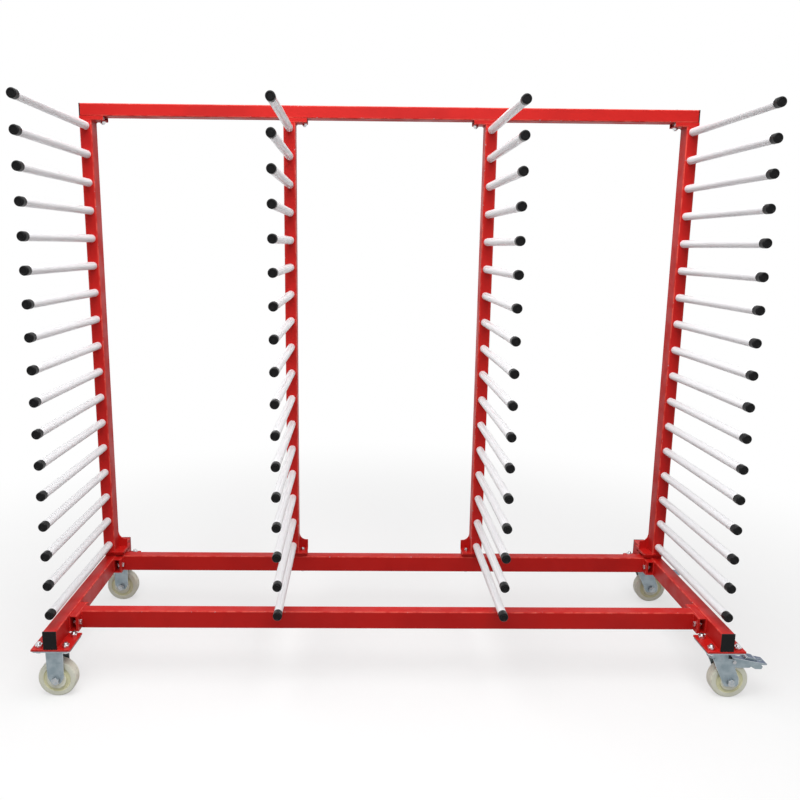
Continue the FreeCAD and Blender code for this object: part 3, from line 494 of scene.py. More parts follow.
def solids(node):
    """Lowest and highest corner of every separate solid of a CAD node, in order."""
    mesh = bmesh.new()
    mesh.from_mesh(frame["nodes"][node].data)
    bmesh.ops.remove_doubles(mesh, verts=mesh.verts, dist=SAME_POINT)
    waiting = set(mesh.verts)
    boxes = []
    while waiting:
        reached = [waiting.pop()]
        low = reached[0].co.copy()
        high = low.copy()
        while reached:
            vert = reached.pop()
            low = Vector(map(min, low, vert.co))
            high = Vector(map(max, high, vert.co))
            for edge in vert.link_edges:
                other = edge.other_vert(vert)
                if other in waiting:
                    waiting.remove(other)
                    reached.append(other)
        boxes.append((low, high))
    mesh.free()
    return sorted(boxes, key=lambda box: [round(part, 5) for part in box[0]])


def bevel(mesh, edges, radius, segments=2):
    """Round some edges and mark the strips as edges."""
    made = bmesh.ops.bevel(
        mesh, geom=list(edges), offset=radius, offset_type="OFFSET", segments=segments,
        profile=0.5, affect="EDGES", clamp_overlap=True, material=-1,
    )
    mark_faces(mesh, "edge_mark", made["faces"])


def since(mesh, before):
    """Vertices of a mesh that weren't in it before."""
    return [vert for vert in mesh.verts if vert not in before]


def faces_of(verts):
    """Faces round some vertices, each one once."""
    return list({face for vert in verts for face in vert.link_faces})


def edges_of(verts):
    """Edges at some vertices, each one once."""
    return list({edge for vert in verts for edge in vert.link_edges})


def soften(mesh, verts, radius, segments=2, limit=SOFT_TURN):
    """Round every edge of these vertices that turns by more than the limit."""
    sharp = []
    for edge in edges_of([vert for vert in verts if vert.is_valid]):
        if edge.is_manifold and edge.calc_face_angle() > limit:
            sharp.append(edge)
    bevel(mesh, sharp, radius, segments)


def block(mesh, low, high):
    """Plain block between two corners."""
    verts = bmesh.ops.create_cube(mesh, size=1.0)["verts"]
    bmesh.ops.scale(mesh, vec=high - low, verts=verts)
    bmesh.ops.translate(mesh, vec=(low + high) / 2, verts=verts)
    return verts


def edges_along(verts, axis):
    """Edges of some vertices that run along an axis."""
    chosen = []
    for edge in edges_of(verts):
        run = edge.verts[1].co - edge.verts[0].co
        if abs(run.normalized().dot(axis)) > PARALLEL:
            chosen.append(edge)
    return chosen


def rounded_block(mesh, low, high, axis, corner, edge, segments=3):
    """Block with round corners along one axis and softened edges elsewhere."""
    before = set(mesh.verts)
    verts = block(mesh, low, high)
    bevel(mesh, edges_along(verts, axis), corner, segments)
    soften(mesh, since(mesh, before), edge)


def open_tube(mesh, low, high, axis, corner, wall):
    """Tube with round corners along one axis and both ends open."""
    before = set(mesh.verts)
    verts = block(mesh, low, high)
    bevel(mesh, edges_along(verts, axis), corner, 4)
    verts = since(mesh, before)
    mesh.normal_update()
    ends = [face for face in faces_of(verts) if abs(face.normal.dot(axis)) > SAME_WAY]
    bmesh.ops.inset_individual(mesh, faces=ends, thickness=wall, use_even_offset=True)
    rims = [edge for face in ends for edge in face.edges]
    bmesh.ops.delete(mesh, geom=ends, context="FACES_ONLY")
    bmesh.ops.bridge_loops(mesh, edges=rims)
    soften(mesh, since(mesh, before), FINE_EDGE, 2, SHARP_TURN)


def prism(mesh, corners, depth):
    """Solid drawn out of a flat outline; returns its edges along the depth, in the outline's order."""
    before = set(mesh.verts)
    near = [mesh.verts.new(corner) for corner in corners]
    face = mesh.faces.new(near)
    drawn = bmesh.ops.extrude_face_region(mesh, geom=[face])["geom"]
    far = [item for item in drawn if isinstance(item, bmesh.types.BMVert)]
    bmesh.ops.translate(mesh, vec=depth, verts=far)
    far = set(far)
    risers = []
    for vert in near:
        for edge in vert.link_edges:
            if edge.other_vert(vert) in far:
                risers.append(edge)
    bmesh.ops.recalc_face_normals(mesh, faces=faces_of(since(mesh, before)))
    return risers


def channel(mesh, low, high, rise):
    """Bent channel along X that opens upwards when the rise is 1 and downwards when it is -1."""
    sheet = sizes().sheet_thick
    web, rim = (low.z, high.z) if rise > 0 else (high.z, low.z)
    inside = web + sheet * rise
    outline = [
        (low.y, web), (high.y, web), (high.y, rim), (high.y - sheet, rim),
        (high.y - sheet, inside), (low.y + sheet, inside), (low.y + sheet, rim), (low.y, rim),
    ]
    before = set(mesh.verts)
    corners = [Vector((low.x, y, z)) for y, z in outline]
    risers = prism(mesh, corners, ALONG * (high.x - low.x))
    bevel(mesh, risers[:2], sheet * 0.9, 3)
    soften(mesh, since(mesh, before), SHEET_EDGE)


def lathe(mesh, profile, centre, axis, steps, closed=False):
    """Turned solid: a line of points along and out from an axis, spun round it."""
    before = set(mesh.verts)
    side = axis.orthogonal().normalized()
    verts = [mesh.verts.new(centre + axis * along + side * radius) for along, radius in profile]
    line = verts + verts[:1] if closed else verts
    edges = [mesh.edges.new(pair) for pair in zip(line, line[1:])]
    bmesh.ops.spin(
        mesh, geom=verts + edges, cent=centre, axis=axis, dvec=(0.0, 0.0, 0.0),
        angle=math.tau, steps=steps, use_merge=True, use_duplicate=False,
    )
    bmesh.ops.remove_doubles(mesh, verts=since(mesh, before), dist=SAME_POINT)
    turned = since(mesh, before)
    bmesh.ops.recalc_face_normals(mesh, faces=faces_of(turned))
    return turned


def ring_edges(verts, centre, axis, along, radius):
    """Edges of a turned solid on one circle of its profile."""
    ring = set()
    for vert in verts:
        offset = vert.co - centre
        height = offset.dot(axis)
        reach = (offset - axis * height).length
        if abs(height - along) < SAME_RING and abs(reach - radius) < SAME_RING:
            ring.add(vert)
    return [edge for edge in edges_of(ring) if edge.verts[0] in ring and edge.verts[1] in ring]


def repeat(mesh, steps):
    """Repeat everything in a mesh at each of some steps."""
    first = mesh.verts[:] + mesh.edges[:] + mesh.faces[:]
    for step in steps:
        made = bmesh.ops.duplicate(mesh, geom=first)["geom"]
        verts = [item for item in made if isinstance(item, bmesh.types.BMVert)]
        bmesh.ops.translate(mesh, vec=step, verts=verts)


def hexagon(mesh, base, axis, flats, height):
    """Hexagon head or nut that stands on a base point."""
    turn = axis.to_track_quat("Z", "Y").to_matrix().to_4x4()
    place = Matrix.Translation(base + axis * height / 2) @ turn
    verts = bmesh.ops.create_cone(
        mesh, cap_ends=True, cap_tris=False, segments=6, radius1=flats / math.sqrt(3),
        radius2=flats / math.sqrt(3), depth=height, matrix=place,
    )["verts"]
    soften(mesh, verts, flats * 0.035)


def nut(mesh, low, high, axis, flats):
    """Hexagon nut that fills the length of its box along an axis."""
    height = (high - low).dot(axis)
    hexagon(mesh, (low + high) / 2 - axis * height / 2, axis, flats, height)


def threaded(mesh, base, axis, diameter, reach):
    """Bolt shank with thread ridges and a pointed end."""
    pitch = sizes().thread_pitch
    ridges = max(2, min(9, int(reach / pitch)))
    start = reach - ridges * pitch
    radius = diameter / 2
    profile = [(0.0, 0.0), (0.0, radius), (start, radius)]
    for ridge in range(ridges):
        profile.append((start + pitch * (ridge + 0.35), radius * 0.90))
        profile.append((start + pitch * (ridge + 0.80), radius))
    profile.append((reach, radius * 0.82))
    profile.append((reach, 0.0))
    lathe(mesh, profile, base, axis, steps=14)


def weld(mesh, start, stop, radius):
    """Rippled weld bead between two points."""
    run = stop - start
    ripples = max(3, round(run.length / sizes().weld_ripple))
    step = run.length / ripples
    profile = [(0.0, 0.0)]
    for ripple in range(ripples):
        swell = radius * (1.0 + 0.13 * math.sin(ripple * 2.7))
        profile.append((step * (ripple + 0.15), swell * 0.82))
        profile.append((step * (ripple + 0.55), swell))
        profile.append((step * (ripple + 0.90), swell * 0.88))
    profile.append((run.length, 0.0))
    lathe(mesh, profile, start, run.normalized(), steps=9)


def seam(mesh, corner, way, reach, radius, inset=WELD_INSET):
    """Weld bead along an edge that starts at a corner, short of both its ends by the inset."""
    start = corner + way * inset
    weld(mesh, start, start + way * (reach - inset * 2), radius)


def piece(mesh, name, slot, nodes=(), body=None, finish=None):
    """Store a mesh as a piece that rides on a body and stands for its CAD nodes.

    It takes the finish of its slot unless another one is named.
    """
    bmesh.ops.recalc_face_normals(mesh, faces=mesh.faces)
    data = bpy.data.meshes.new(name)
    mesh.to_mesh(data)
    mesh.free()
    data.shade_smooth()
    data.set_sharp_from_angle(angle=SHADE_TURN)
    data.materials.append(finish_for(finish or slot))
    item = bpy.data.objects.new(name, data)
    bpy.context.scene.collection.objects.link(item)
    normals = item.modifiers.new("Flat faces", "WEIGHTED_NORMAL")
    normals.keep_sharp = True
    normals.weight = FLAT_WEIGHT
    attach(item, body or BODY_OF[nodes[0]])
    if nodes:
        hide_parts(*nodes)


def keep_node(node, slot):
    """Show a CAD node as it is, in its own finish."""
    data = frame["nodes"][node].data
    data.materials.clear()
    data.materials.append(finish_for(slot))


def inward(x):
    """Direction along X from a place towards the middle of the rack."""
    return 1.0 if x < MIDDLE_X else -1.0


def inner_face(low, high):
    """Place along X of the side of a box that is nearer to the middle of the rack."""
    return high.x if inward((low.x + high.x) / 2) > 0 else low.x


def outer_face(low, high):
    """Place along X of the side of a box that is farther from the middle of the rack."""
    return low.x if inward((low.x + high.x) / 2) > 0 else high.x


# Pieces

class RACK_OT_tubes(bpy.types.Operator):
    """Steel tubes of the frame with their rounded corners"""

    bl_idname = "rack.tubes"
    bl_label = "Tubes"

    def execute(self, context):
        size = sizes()
        for node in TUBE_NODES:
            low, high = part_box(node)
            reach = high - low
            axis = max((ALONG, AWAY, UP), key=lambda way: abs(reach.dot(way)))
            mesh = new_mesh()
            rounded_block(mesh, low, high, axis, size.tube_round, FINE_EDGE, 4)
            piece(mesh, "tube_" + node, "red_paint", (node,))
        return {"FINISHED"}


class RACK_OT_plugs(bpy.types.Operator):
    """Black plugs in the tube ends"""

    bl_idname = "rack.plugs"
    bl_label = "Plugs"

    def execute(self, context):
        flange = sizes().plug_flange
        crown = flange * 0.15
        for node, axis in (("rail_end_plugs", AWAY), ("top_rail_plugs", ALONG)):
            mesh = new_mesh()
            boxes = solids(node)
            middle = sum((low + high for low, high in boxes), Vector()) / (2 * len(boxes))
            for low, high in boxes:
                outwards = axis if ((low + high) / 2 - middle).dot(axis) > 0 else -axis
                trim = axis * ((high - low).dot(axis) - flange)
                before = set(mesh.verts)
                if outwards == axis:
                    block(mesh, low + trim, high - axis * crown)
                else:
                    block(mesh, low + axis * crown, high - trim)
                faces = faces_of(since(mesh, before))
                front = [face for face in faces if face.normal.dot(outwards) > SAME_WAY]
                bmesh.ops.inset_region(mesh, faces=front, thickness=flange, depth=crown)
                soften(mesh, since(mesh, before), PLUG_EDGE, 2, SHARP_TURN)
            piece(mesh, "moulded_" + node, "black_plastic", (node,))
        return {"FINISHED"}


class RACK_OT_heads(bpy.types.Operator):
    """Channels between the posts and the top rail, with their welds"""

    bl_idname = "rack.heads"
    bl_label = "Post heads"

    def execute(self, context):
        bead = sizes().weld_radius
        channels = new_mesh()
        welds = new_mesh()
        for name, (low, high) in zip(POST_NAMES, solids("head_channels")):
            channel(channels, low, high, 1.0)
            post_low, post_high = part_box("post_" + name)
            corner = Vector((inner_face(post_low, post_high), low.y, low.z))
            seam(welds, corner, AWAY, high.y - low.y, bead * 1.2, CLOSE_INSET)
            for y in (low.y, high.y):
                corner = Vector((post_low.x, y, low.z))
                seam(welds, corner, ALONG, post_high.x - post_low.x, FINE_WELD)
        piece(channels, "bent_head_channels", "red_paint", ("head_channels",))
        piece(welds, "head_welds", "red_paint", body="rack")
        return {"FINISHED"}


class RACK_OT_feet(bpy.types.Operator):
    """Plates, spacers, gussets and welds at the feet of the posts"""

    bl_idname = "rack.feet"
    bl_label = "Post feet"

    def execute(self, context):
        self.plates()
        self.spacers()
        self.gussets()
        self.welds()
        return {"FINISHED"}

    def plates(self):
        mesh = new_mesh()
        for low, high in solids("foot_plates"):
            rounded_block(mesh, low, high, UP, PLATE_CORNER, sizes().plate_round)
        piece(mesh, "cut_foot_plates", "red_paint", ("foot_plates",))

    def spacers(self):
        mesh = new_mesh()
        for low, high in solids("foot_spacers"):
            channel(mesh, low, high, -1.0)
        piece(mesh, "bent_foot_spacers", "red_paint", ("foot_spacers",))

    def gussets(self):
        """Each gusset is drawn from its two straight edges and hollowed by a quarter round."""
        mesh = new_mesh()
        for low, high in solids("foot_gussets"):
            way = inward((low.x + high.x) / 2)
            root = outer_face(low, high)
            reach = high.x - low.x
            rise = high.z - low.z
            radius = min(reach, rise) * 0.81
            before = set(mesh.verts)
            corners = [
                (0.0, 0.0), (reach, 0.0), (reach, rise - radius), (CUT_EDGE, rise - radius), (0.0, rise),
            ]
            outline = [Vector((root + way * x, low.y, low.z + z)) for x, z in corners]
            risers = prism(mesh, outline, AWAY * (high.y - low.y))
            bevel(mesh, [risers[3]], radius * 0.98, 8)
            soften(mesh, since(mesh, before), CUT_EDGE)
        piece(mesh, "cut_foot_gussets", "red_paint", ("foot_gussets",))

    def welds(self):
        bead = sizes().weld_radius
        mesh = new_mesh()
        for name, (low, high) in zip(POST_NAMES, solids("foot_gussets")):
            post_low, post_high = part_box("post_" + name)
            side = inner_face(post_low, post_high)
            foot = post_low.z
            width = post_high.x - post_low.x
            seam(mesh, post_low, ALONG, width, bead * 1.25, CLOSE_INSET)
            inner = Vector((side, post_low.y + WELD_INSET, foot))
            root = Vector((side, low.y, foot))
            weld(mesh, inner, root - AWAY * CLOSE_INSET, bead * 1.2)
            seam(mesh, Vector((post_low.x, post_high.y, foot)), ALONG, width, bead * 0.8)
            seam(mesh, root, ALONG * inward(side), high.x - low.x, bead * 0.8)
            start = CLOSE_INSET * 2
            stop = high.z - low.z - CLOSE_INSET * 4
            weld(mesh, root + UP * start, root + UP * stop, bead * 0.7)
        piece(mesh, "foot_welds", "red_paint", body="rack")


class RACK_OT_joints(bpy.types.Operator):
    """Bolted joints between the side rails and the cross rails"""

    bl_idname = "rack.joints"
    bl_label = "Rail joints"

    def execute(self, context):
        size = sizes()
        bead = size.weld_radius
        rail_low, rail_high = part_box("front_cross_rail")
        rail = rail_high.y - rail_low.y
        tubes = new_mesh()
        flanges = new_mesh()
        plates = new_mesh()
        welds = new_mesh()
        for low, high in solids("joint_tubes"):
            open_tube(tubes, low, high, AWAY, size.tube_round, size.tube_wall)
            root = outer_face(low, high)
            edge = Vector((root, low.y, high.z - CLOSE_INSET / 2))
            seam(welds, edge, AWAY, high.y - low.y, bead * 0.9)
            for y in (low.y, high.y):
                seam(welds, Vector((root, y, low.z)), UP, high.z - low.z, bead, CLOSE_INSET)
        for low, high in solids("joint_flanges"):
            rounded_block(flanges, low, high, ALONG, PLATE_CORNER, size.plate_round)
            face = inner_face(low, high)
            front = (low.y + high.y - rail) / 2
            for y in (front, front + rail):
                seam(welds, Vector((face, y, low.z)), UP, high.z - low.z, bead * 1.15)
            seam(welds, Vector((face, front, high.z)), AWAY, rail, bead)
        for low, high in solids("caster_mount_plates"):
            rounded_block(plates, low, high, UP, PLATE_CORNER * 0.75, size.plate_round)
            name = "side_rail_left" if low.x < MIDDLE_X else "side_rail_right"
            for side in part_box(name):
                corner = Vector((side.x, low.y, high.z))
                seam(welds, corner, AWAY, high.y - low.y, bead * 0.9, PLATE_INSET)
        piece(tubes, "open_joint_tubes", "red_paint", ("joint_tubes",))
        piece(flanges, "cut_joint_flanges", "red_paint", ("joint_flanges",))
        piece(welds, "joint_welds", "red_paint", body="rack")
        piece(plates, "cut_mount_plates", "red_paint", ("caster_mount_plates",))
        return {"FINISHED"}


class RACK_OT_arms(bpy.types.Operator):
    """Sleeves and end caps of the arms"""

    bl_idname = "rack.arms"
    bl_label = "Arms"

    def execute(self, context):
        size = sizes()
        for name in POST_NAMES:
            node = "arm_sleeves_" + name
            column = solids(node)
            low, high = column[0]
            radius = (high.x - low.x) / 2
            reach = high.y - low.y
            bore = radius - size.sleeve_wall
            root = Vector(((low.x + high.x) / 2, high.y, (low.z + high.z) / 2))
            profile = [(0.0, bore), (0.0, radius), (reach, radius), (reach, bore)]
            mesh = new_mesh()
            lathe(mesh, profile, root, -AWAY, steps=40, closed=True)
            repeat(mesh, [other[0] - low for other in column[1:]])
            piece(mesh, "plastic_" + node, "white_sleeve", (node,))
            self.caps("arm_caps_" + name, radius)
            keep_node("arm_rods_" + name, "plain_steel")
        return {"FINISHED"}

    def caps(self, node, bore):
        size = sizes()
        column = solids(node)
        low, high = column[0]
        radius = (high.x - low.x) / 2
        reach = high.y - low.y
        end = Vector(((low.x + high.x) / 2, low.y, (low.z + high.z) / 2))
        dish = size.cap_end_wall * 0.4
        profile = [
            (dish, 0.0), (dish, radius * 0.55), (0.0, radius * 0.62), (0.0, radius),
            (reach, radius), (reach, bore), (size.cap_end_wall, bore), (size.cap_end_wall, 0.0),
        ]
        mesh = new_mesh()
        verts = lathe(mesh, profile, end, AWAY, steps=32)
        outer = ring_edges(verts, end, AWAY, 0.0, radius)
        mouth = ring_edges(verts, end, AWAY, reach, radius)
        bevel(mesh, outer, size.cap_end_round, 4)
        bevel(mesh, mouth, CUT_EDGE)
        repeat(mesh, [other[0] - low for other in column[1:]])
        piece(mesh, "moulded_" + node, "black_plastic", (node,))


class RACK_OT_fasteners(bpy.types.Operator):
    """Bolts and nuts of the frame"""

    bl_idname = "rack.fasteners"
    bl_label = "Bolts and nuts"

    def execute(self, context):
        size = sizes()
        self.bolts("caster_bolts", size.plate_hex, size.plate_head, size.plate_bolt)
        self.bolts("foot_bolts", size.hex_flats, size.hex_head, size.bolt_diameter)
        self.joint_bolts()
        self.head_bolts()
        self.nuts()
        return {"FINISHED"}

    def bolts(self, node, flats, head, diameter):
        """Bolts that point up, with their heads below."""
        mesh = new_mesh()
        for low, high in solids(node):
            base = (low + high) / 2
            base.z = low.z + head
            hexagon(mesh, base, -UP, flats, head)
            threaded(mesh, base, UP, diameter, high.z - base.z)
        piece(mesh, "threaded_" + node, "bright_zinc", (node,))

    def joint_bolts(self):
        """Bolts through the rail joints, with their heads towards the middle of the rack."""
        size = sizes()
        mesh = new_mesh()
        for low, high in solids("joint_bolts"):
            way = inward((low.x + high.x) / 2)
            base = (low + high) / 2
            base.x = inner_face(low, high) - size.hex_head * way
            hexagon(mesh, base, ALONG * way, size.hex_flats, size.hex_head)
            threaded(mesh, base, ALONG * -way, size.bolt_diameter, high.x - low.x - size.hex_head)
        piece(mesh, "threaded_joint_bolts", "bright_zinc", ("joint_bolts",))

    def head_bolts(self):
        """Round-headed bolts down through the top rail."""
        size = sizes()
        rise = size.dome_height
        rim = rise * 0.12
        rounds = 6
        radius = size.dome_diameter / 2
        mesh = new_mesh()
        for low, high in solids("head_bolts"):
            base = (low + high) / 2
            base.z = high.z - rise
            profile = [(0.0, 0.0), (0.0, radius), (rim, radius)]
            for step in range(1, rounds + 1):
                angle = math.pi / 2 * step / rounds
                profile.append((rim + (rise - rim) * math.sin(angle), radius * math.cos(angle)))
            lathe(mesh, profile, base, UP, steps=28)
            threaded(mesh, base, -UP, size.bolt_diameter, base.z - low.z)
        piece(mesh, "domed_head_bolts", "bright_zinc", ("head_bolts",))

    def nuts(self):
        """Hexagon nuts; the short side of each nut's box is its axis and the next one its flats."""
        mesh = new_mesh()
        for low, high in solids("frame_nuts"):
            reach = high - low
            axis = min((ALONG, UP), key=lambda way: reach.dot(way))
            nut(mesh, low, high, axis, sorted(reach)[1])
        piece(mesh, "chamfered_frame_nuts", "bright_zinc", ("frame_nuts",))


def caster_plate(mesh, low, high):
    """Mounting plate at the top of a caster's box."""
    size = sizes()
    corner = Vector((low.x, low.y, high.z - size.plate_thick))
    rounded_block(mesh, corner, high, UP, CASTER_PLATE_CORNER, size.plate_round, 4)


def fork_legs(mesh, corners, x, y):
    """Both legs of a fork from one outline, rounded at the foot; x and y are the place of its axis."""
    size = sizes()
    foot = min(height for ahead, height in corners) + FORK_FOOT
    for side in (-1.0, 1.0):
        near = y + side * size.fork_gap / 2
        before = set(mesh.verts)
        outline = [Vector((x + ahead, near, height)) for ahead, height in corners]
        risers = prism(mesh, outline, AWAY * side * size.fork_thick)
        low = [edge for edge in risers if edge.verts[0].co.z < foot]
        bevel(mesh, low, FORK_CORNER, 4)
        soften(mesh, since(mesh, before), size.plate_round, 2, SHARP_TURN)


def axle(mesh, low, high, front_head):
    """Axle bolt with its head at one side; the other end is threaded."""
    size = sizes()
    way = AWAY if front_head else -AWAY
    base = (low + high) / 2
    base.y = low.y + size.axle_head if front_head else high.y - size.axle_head
    hexagon(mesh, base, -way, size.axle_flats, size.axle_head)
    threaded(mesh, base, way, size.axle_diameter, high.y - low.y - size.axle_head)


class RACK_OT_fixed_casters(bpy.types.Operator):
    """Forks and axles of the fixed casters"""

    bl_idname = "rack.fixed_casters"
    bl_label = "Fixed casters"

    def execute(self, context):
        for name in FIXED_NAMES:
            self.fork("fixed_fork_" + name)
        self.axles()
        return {"FINISHED"}

    def fork(self, node):
        size = sizes()
        half = size.fixed_leg_width / 2
        drop = size.fixed_leg_drop
        low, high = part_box(node)
        middle = (low + high) / 2
        plate = high.z - size.plate_thick
        mesh = new_mesh()
        caster_plate(mesh, low, high)
        corners = [(size.fixed_leg_end / 2, low.z), (half * 0.94, low.z + drop * 1.8), (half, plate)]
        corners += [(-ahead, height) for ahead, height in reversed(corners)]
        fork_legs(mesh, corners, middle.x, middle.y)
        for side in (-1.0, 1.0):
            for offset in (size.fork_gap / 2, size.fork_gap / 2 + size.fork_thick):
                corner = Vector((middle.x - half, middle.y + side * offset, plate))
                weld(mesh, corner, corner + ALONG * half * 2, FORK_WELD)
        piece(mesh, "pressed_" + node, "pressed_zinc", (node,))

    def axles(self):
        """Axle bolts and nuts, with the front bolt's head in front and the rear bolt's head behind."""
        bolts = new_mesh()
        nuts = new_mesh()
        for index, (low, high) in enumerate(solids("fixed_axle_bolts")):
            axle(bolts, low, high, index == 0)
        for low, high in solids("fixed_axle_nuts"):
            nut(nuts, low, high, AWAY, sizes().axle_flats)
        piece(bolts, "threaded_fixed_axle_bolts", "bright_zinc", ("fixed_axle_bolts",), finish="axle_zinc")
        piece(nuts, "chamfered_fixed_axle_nuts", "bright_zinc", ("fixed_axle_nuts",), finish="axle_zinc")


class RACK_OT_swivel_casters(bpy.types.Operator):
    """Top plates, races, forks and axles of the swivel casters"""

    bl_idname = "rack.swivel_casters"
    bl_label = "Swivel casters"

    def execute(self, context):
        self.top_plates()
        for name in SWIVEL_NAMES:
            self.fork(name)
            self.axle_set(name)
        keep_node("swivel_king_pins", "plain_steel")
        keep_node("swivel_race_balls", "plain_steel")
        return {"FINISHED"}

    def top_plates(self):
        size = sizes()
        mesh = new_mesh()
        for low, high in solids("swivel_top_plates"):
            caster_plate(mesh, low, high)
            centre = (low + high) / 2
            centre.z = high.z - size.plate_thick
            outer = size.cover_diameter / 2
            inner = outer - size.sheet_thick
            drop = -size.cover_height
            profile = [
                (0.0, inner), (0.0, outer + 0.002), (drop * 0.35, outer), (drop, outer - 0.001),
                (drop, inner),
            ]
            lathe(mesh, profile, centre, UP, steps=40, closed=True)
        piece(mesh, "pressed_swivel_top_plates", "pressed_zinc", ("swivel_top_plates",))

    def fork(self, name):
        size = sizes()
        node = "swivel_fork_" + name
        low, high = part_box(node)
        wheel_low, wheel_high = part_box("wheel_" + name)
        pin_low, pin_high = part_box("brake_pin_" + name)
        axle_x = (wheel_low.x + wheel_high.x) / 2
        axle_z = (wheel_low.z + wheel_high.z) / 2
        axis_x = low.x + size.crown_diameter / 2
        middle_y = (low.y + high.y) / 2
        pin = ((pin_low.x + pin_high.x) / 2 - axis_x, (pin_low.z + pin_high.z) / 2)
        mesh = new_mesh()
        top = high.z - size.crown_ring_height
        crown = Vector((axis_x, middle_y, top))
        radius = size.crown_diameter / 2
        ring = size.crown_ring_diameter / 2
        bore = size.crown_ring_bore / 2
        rise = size.crown_ring_height
        profile = [
            (rise, bore), (rise, ring - 0.003), (rise - 0.001, ring - 0.001), (rise - 0.004, ring),
            (0.003, ring), (0.0, radius - 0.0005), (-0.001, radius), (-size.fork_thick, radius),
            (-size.fork_thick, bore),
        ]
        lathe(mesh, profile, crown, UP, steps=48, closed=True)
        trail = axle_x - axis_x
        end = size.swivel_leg_end / 2
        drop = size.swivel_leg_drop
        leg = [
            (-size.swivel_leg_back, top), (trail - end, axle_z - drop * 0.3),
            (trail - end * 0.75, axle_z - drop), (trail + end * 0.75, axle_z - drop),
            (trail + end, axle_z - drop * 0.5), (trail + end * 0.95, axle_z + drop),
            (trail + end * 0.45, axle_z + drop * 2.8), (pin[0] + 0.003, pin[1] - 0.007),
            (pin[0] + 0.006, pin[1]), (pin[0] + 0.002, pin[1] + 0.006), (size.swivel_leg_front, top),
        ]
        fork_legs(mesh, leg, axis_x, middle_y)
        piece(mesh, "pressed_" + node, "pressed_zinc", (node,))

    def axle_set(self, name):
        size = sizes()
        node = "swivel_axle_" + name
        mesh = new_mesh()
        short, long = sorted(solids(node), key=lambda box: box[1].y - box[0].y)
        axle(mesh, *long, short[0].y > long[0].y + size.fork_gap / 2)
        nut(mesh, *short, AWAY, size.axle_flats)
        piece(mesh, "threaded_" + node, "bright_zinc", (node,), finish="axle_zinc")


class RACK_OT_brakes(bpy.types.Operator):
    """Pedals and shoes of the wheel brakes"""

    bl_idname = "rack.brakes"
    bl_label = "Brakes"

    def execute(self, context):
        for name in SWIVEL_NAMES:
            keep_node("brake_pin_" + name, "plain_steel")
            self.pedal(name)
            self.shoe(name)
        return {"FINISHED"}

    def places(self, name, corners):
        """Places in X and Z of corners given ahead of the pivot and below the pedal's upper face."""
        size = sizes()
        pin_low, pin_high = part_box("brake_pin_" + name)
        pivot_x = (pin_low.x + pin_high.x) / 2
        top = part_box("brake_pedal_" + name)[1].z
        start = size.pedal_start
        return [
            (pivot_x + ahead, top - (ahead + start) * size.pedal_slope - drop)
            for ahead, drop in corners
        ]

    def strip(self, mesh, name, corners, near, width, corner_round):
        """One bent or cut strip of the brake, drawn across the wheel from a near side."""
        size = sizes()
        before = set(mesh.verts)
        outline = [Vector((x, near, z)) for x, z in self.places(name, corners)]
        risers = prism(mesh, outline, AWAY * width)
        bevel(mesh, risers, corner_round, 3)
        soften(mesh, since(mesh, before), size.plate_round * 0.7, 2, SHARP_TURN)
        return since(mesh, before)

    def pedal(self, name):
        size = sizes()
        node = "brake_pedal_" + name
        low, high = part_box(node)
        pin_low, pin_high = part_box("brake_pin_" + name)
        tip = high.x - (pin_low.x + pin_high.x) / 2
        start = -size.pedal_start
        thick = size.pedal_thick
        width = high.y - low.y
        mesh = new_mesh()
        flange = [
            (start, 0.0003), (tip - 0.001, 0.0003), (tip, 0.003), (0.056, 0.008), (0.044, 0.020),
            (0.010, 0.027), (start, 0.020),
        ]
        for near in (low.y, high.y - thick):
            self.strip(mesh, name, flange, near, thick, 0.0025)
        sheet = [(start, 0.0), (tip, 0.0), (tip, thick), (start, thick)]
        top = self.strip(mesh, name, sheet, low.y + 0.0005, width - 0.001, 0.0004)
        hump = [(0.032, 0.001), (0.038, -0.0065), (0.062, -0.0065), (0.070, 0.001)]
        top += self.strip(mesh, name, hump, low.y + width * 0.2, width * 0.6, 0.0035)
        faces = faces_of([vert for vert in top if vert.is_valid])
        # Faces of the pedal that point up are marked for a painted dark reflection
        mark_faces(mesh, "shade_and_reflection_mark", [face for face in faces if face.normal.z > 0.8])
        x, z = self.places(name, [(tip - 0.012, 0.0)])[0]
        eye = [(0.0, 0.0034), (0.0, 0.0062), (0.0010, 0.0058), (0.0014, 0.0046), (0.0010, 0.0034)]
        lathe(mesh, eye, Vector((x, (low.y + high.y) / 2, z - 0.0002)), UP, steps=24, closed=True)
        piece(mesh, "pressed_" + node, "pressed_zinc", (node,))

    def shoe(self, name):
        node = "brake_shoe_" + name
        low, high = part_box(node)
        thick = sizes().pedal_thick
        corners = [
            (0.012, thick), (0.026, thick), (0.032, 0.008), (0.066, 0.009), (0.078, 0.007),
            (0.083, 0.012), (0.080, 0.020), (0.062, 0.023), (0.050, 0.018), (0.032, 0.014),
            (0.022, 0.014), (0.012, 0.014),
        ]
        mesh = new_mesh()
        self.strip(mesh, name, corners, low.y, high.y - low.y, 0.0018)
        piece(mesh, "pressed_" + node, "pressed_zinc", (node,))


